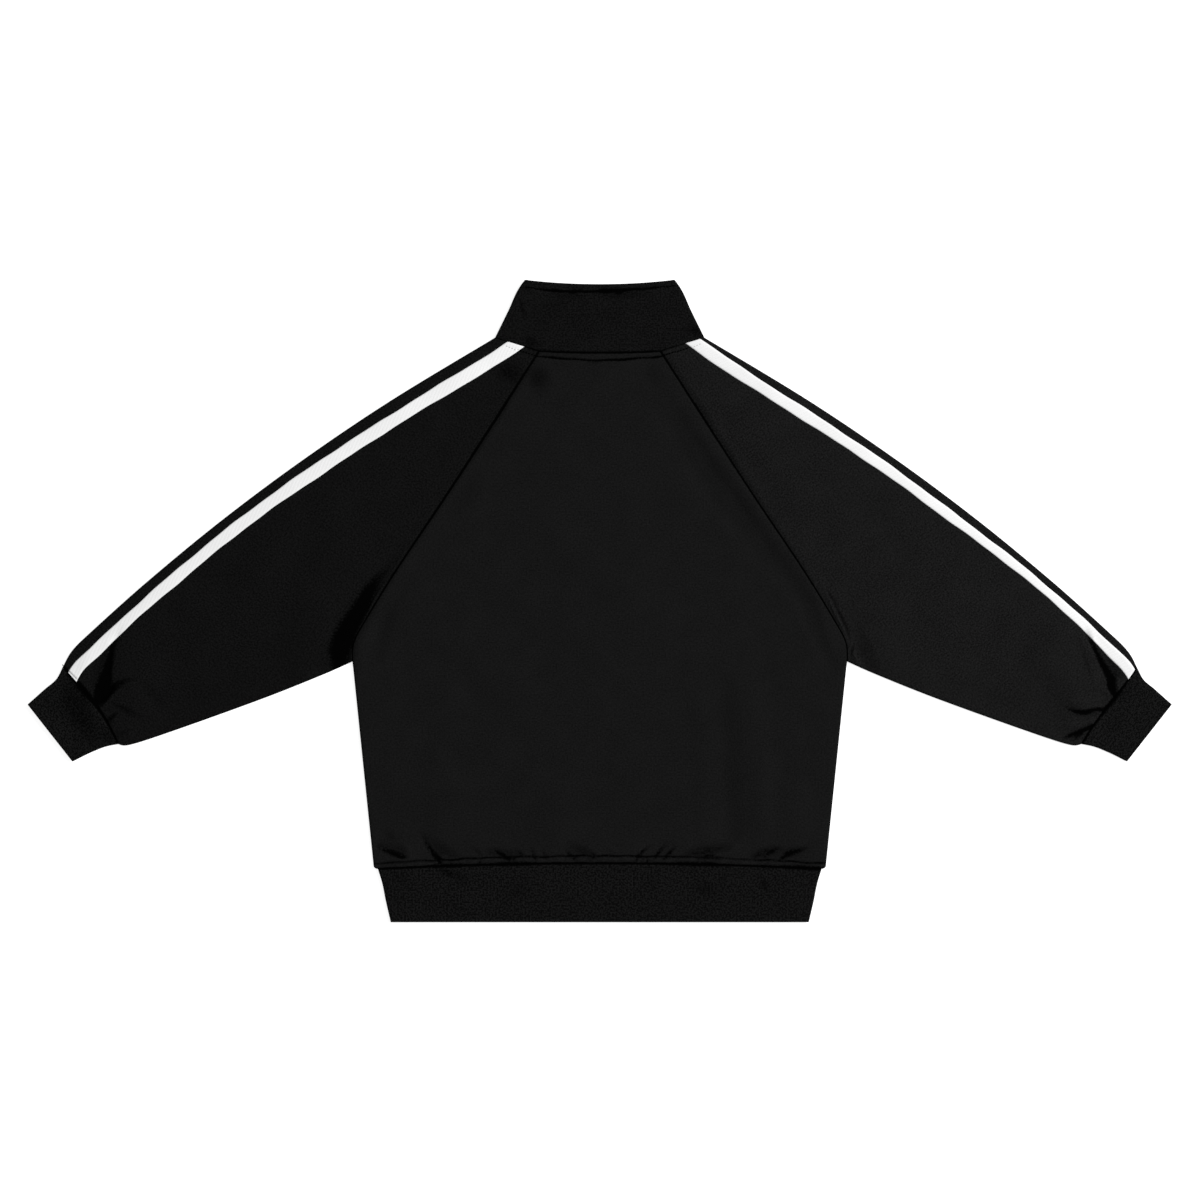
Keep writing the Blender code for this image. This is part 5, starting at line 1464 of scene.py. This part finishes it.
def on_upper(*layers_and_test):
    """Height of the outer face at points that may lie on different pieces."""
    def height(x, y):
        z = np.zeros_like(x)
        for layers, test in layers_and_test:
            z = np.where(test(x, y), layers.upper(x, y)[0], z)
        return z + 0.15
    return height


def raglan_x(y):
    """How far out the back's raglan seam is at a height."""
    points = back_raglan.points
    return np.interp(-y, -points[:, 1], points[:, 0])


body_height = on_upper(
    (back_layers, lambda x, y: np.abs(x) <= raglan_x(y)),
    (sleeve_layers[-1], lambda x, y: x < -raglan_x(y)),
    (sleeve_layers[1], lambda x, y: x > raglan_x(y)),
)
collar_height = on_upper((collar_layers, lambda x, y: np.full(x.shape, True)))


def over_tape(x, y):
    """Height of stitches that cross a stripe."""
    return body_height(x, y) + STRIPE_TAPE + STRIPE_OFF_CLOTH


# name, path, height, thread and its radius
SEWING = [
    ("collar_stitches", TOP_STITCH, collar_height, black_thread_painted_shade, 0.75),
    ("neck_stitches", NECK_STITCH[2:-2], body_height, black_thread_painted_shade, 0.75),
    ("hem_stitches", HEM_STITCH, body_height, black_thread_painted_shade, 0.4),
    ("stripe_left_stitches", [(-114.6, 311.3), (-100.7, 304.9)], over_tape, grey_thread, 0.34),
    ("stripe_right_stitches", [(114.2, 309.5), (125.4, 314.5)], over_tape, grey_thread, 0.34),
]
for name, path, height, thread, radius in SEWING:
    ride(thread_mesh(name, stitch_ends(path, height), thread, radius))
THREAD_END = np.array([(-649.0, -84.5, 3.6), (-656.0, -77.0, 2.8)])
ride(thread_mesh("cuff_thread_end", [THREAD_END], black_thread_painted_shade, 0.5))

# ---- front zip -------------------------------------------------------------------------------

ZIP_FOOT = HEM_FOOT + ZIP_BOX_LENGTH + 1.0
for side, hand in SIDES:
    inner_edge = 0.5 * CHAIN_WIDTH + TAPE_GAP
    x, y = np.meshgrid(np.linspace(inner_edge, inner_edge + ZIP_TAPE_WIDTH, 9),
                       np.linspace(ZIP_FOOT, ZIP_TOP, 240))
    foot = CLOTH + TAPE_GAP + front_lift(x, y)
    grids = [np.dstack([side * x, y, foot]), np.dstack([side * x, y, foot + ZIP_TAPE])]
    tape = grid_object(f"zip_{hand}_tape", grids, [0.0 * x, 0.0 * x], black_tape)
    ride(tape, "zip_tape_" + hand)

# across the chain and along it: a tooth with a head that locks between its neighbours
TOOTH = [(-2.3, -0.55), (-0.1, -0.5), (0.75, -0.8), (0.75, 0.8), (-0.1, 0.5), (-2.3, 0.55)]
TOOTH_MIDDLE = 0.8                   # teeth narrow towards this point of them, above and below
TOOTH_LEVELS = [(-0.85, 0.72), (-0.5, 1.0), (0.5, 1.0), (0.85, 0.72)]
TOOTH_PITCH = 1.35
teeth = []
for number in range(int((SLIDER_FOOT + CHAIN_IN_SLIDER - ZIP_FOOT) / TOOTH_PITCH)):
    along = ZIP_FOOT + 0.8 + number * TOOTH_PITCH
    way = 1 if number % 2 else -1
    height = CHAIN_MIDDLE + float(front_lift(0.0, along))
    rings = []
    for level, size in TOOTH_LEVELS:
        rings.append([(way * (a + TOOTH_MIDDLE) * size - way * TOOTH_MIDDLE, along + b * size,
                       height + level) for a, b in TOOTH[::way]])
    teeth.append(rings)
chain = ring_mesh("zip_teeth", teeth, zip_plastic)
ride(chain, "zip_chain")

for node, material in {"zip_box": zip_plastic, "zip_slider": zip_steel, "zip_pull": zip_steel}.items():
    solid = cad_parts[node]
    solid.data.materials.clear()
    solid.data.materials.append(material)

# ---- floor and light -------------------------------------------------------------------------

FLOOR_REACH = 9.0                    # metres to each side
FLOOR_DROP = 0.0004
FLOOR_GLOW = 0.8                     # it glows, as the photograph's ground is plain white
WORLD_LIGHT = 0.42
SUN_LIGHT = 2.7
SUN_SPREAD = 24.0                    # degrees
SUN_TURN = (52.0, 0.0, 110.0)        # from the right and a little from the collar's side
SIDE_LIGHT = 12.0
SIDE_LIGHT_SIZE = 0.7
SIDE_LIGHT_PLACE = (1.1, 0.3, 1.5)

floor_mesh = bpy.data.meshes.new("floor")
corners = [(x * FLOOR_REACH, y * FLOOR_REACH, 0.0) for x, y in ((-1, -1), (1, -1), (1, 1), (-1, 1))]
floor_mesh.from_pydata(corners, [], [(0, 1, 2, 3)])
pale = Nodes("pale_floor")
cloud = pale.noise(pale.add("ShaderNodeTexCoord").outputs[3], 3.0, 2.0)
pale.set(Base_Color=pale.blend(cloud, grey(0.5), grey(0.52)), Roughness=0.9)
pale.set(Specular_IOR_Level=0.0, Emission_Color=grey(1.0), Emission_Strength=FLOOR_GLOW)
floor_mesh.materials.append(pale.material)
floor = link("floor", floor_mesh)
floor.location.z = -FLOOR_DROP

world = bpy.data.worlds.new("studio")
world.use_nodes = True
background = world.node_tree.nodes["Background"]
background.inputs["Color"].default_value = grey(1.0)
background.inputs["Strength"].default_value = WORLD_LIGHT
bpy.context.scene.world = world
bpy.context.scene.view_settings.view_transform = "Standard"


def light_data(name, kind, power):
    """A light of a kind and a power."""
    data = bpy.data.lights.new(name, kind)
    data.energy = power
    return data


side_data = light_data("side_light", "AREA", SIDE_LIGHT)
side_data.shape = "SQUARE"
side_data.size = SIDE_LIGHT_SIZE
side_light = link("side_light", side_data)
side_light.location = SIDE_LIGHT_PLACE
away = np.array(SIDE_LIGHT_PLACE) / np.linalg.norm(SIDE_LIGHT_PLACE)
side_light.rotation_euler = (math.acos(away[2]), 0.0, math.atan2(away[1], away[0]) + math.pi / 2.0)

sun_data = light_data("soft_key", "SUN", SUN_LIGHT)
sun_data.angle = math.radians(SUN_SPREAD)
link("soft_key", sun_data).rotation_euler = [math.radians(turn) for turn in SUN_TURN]
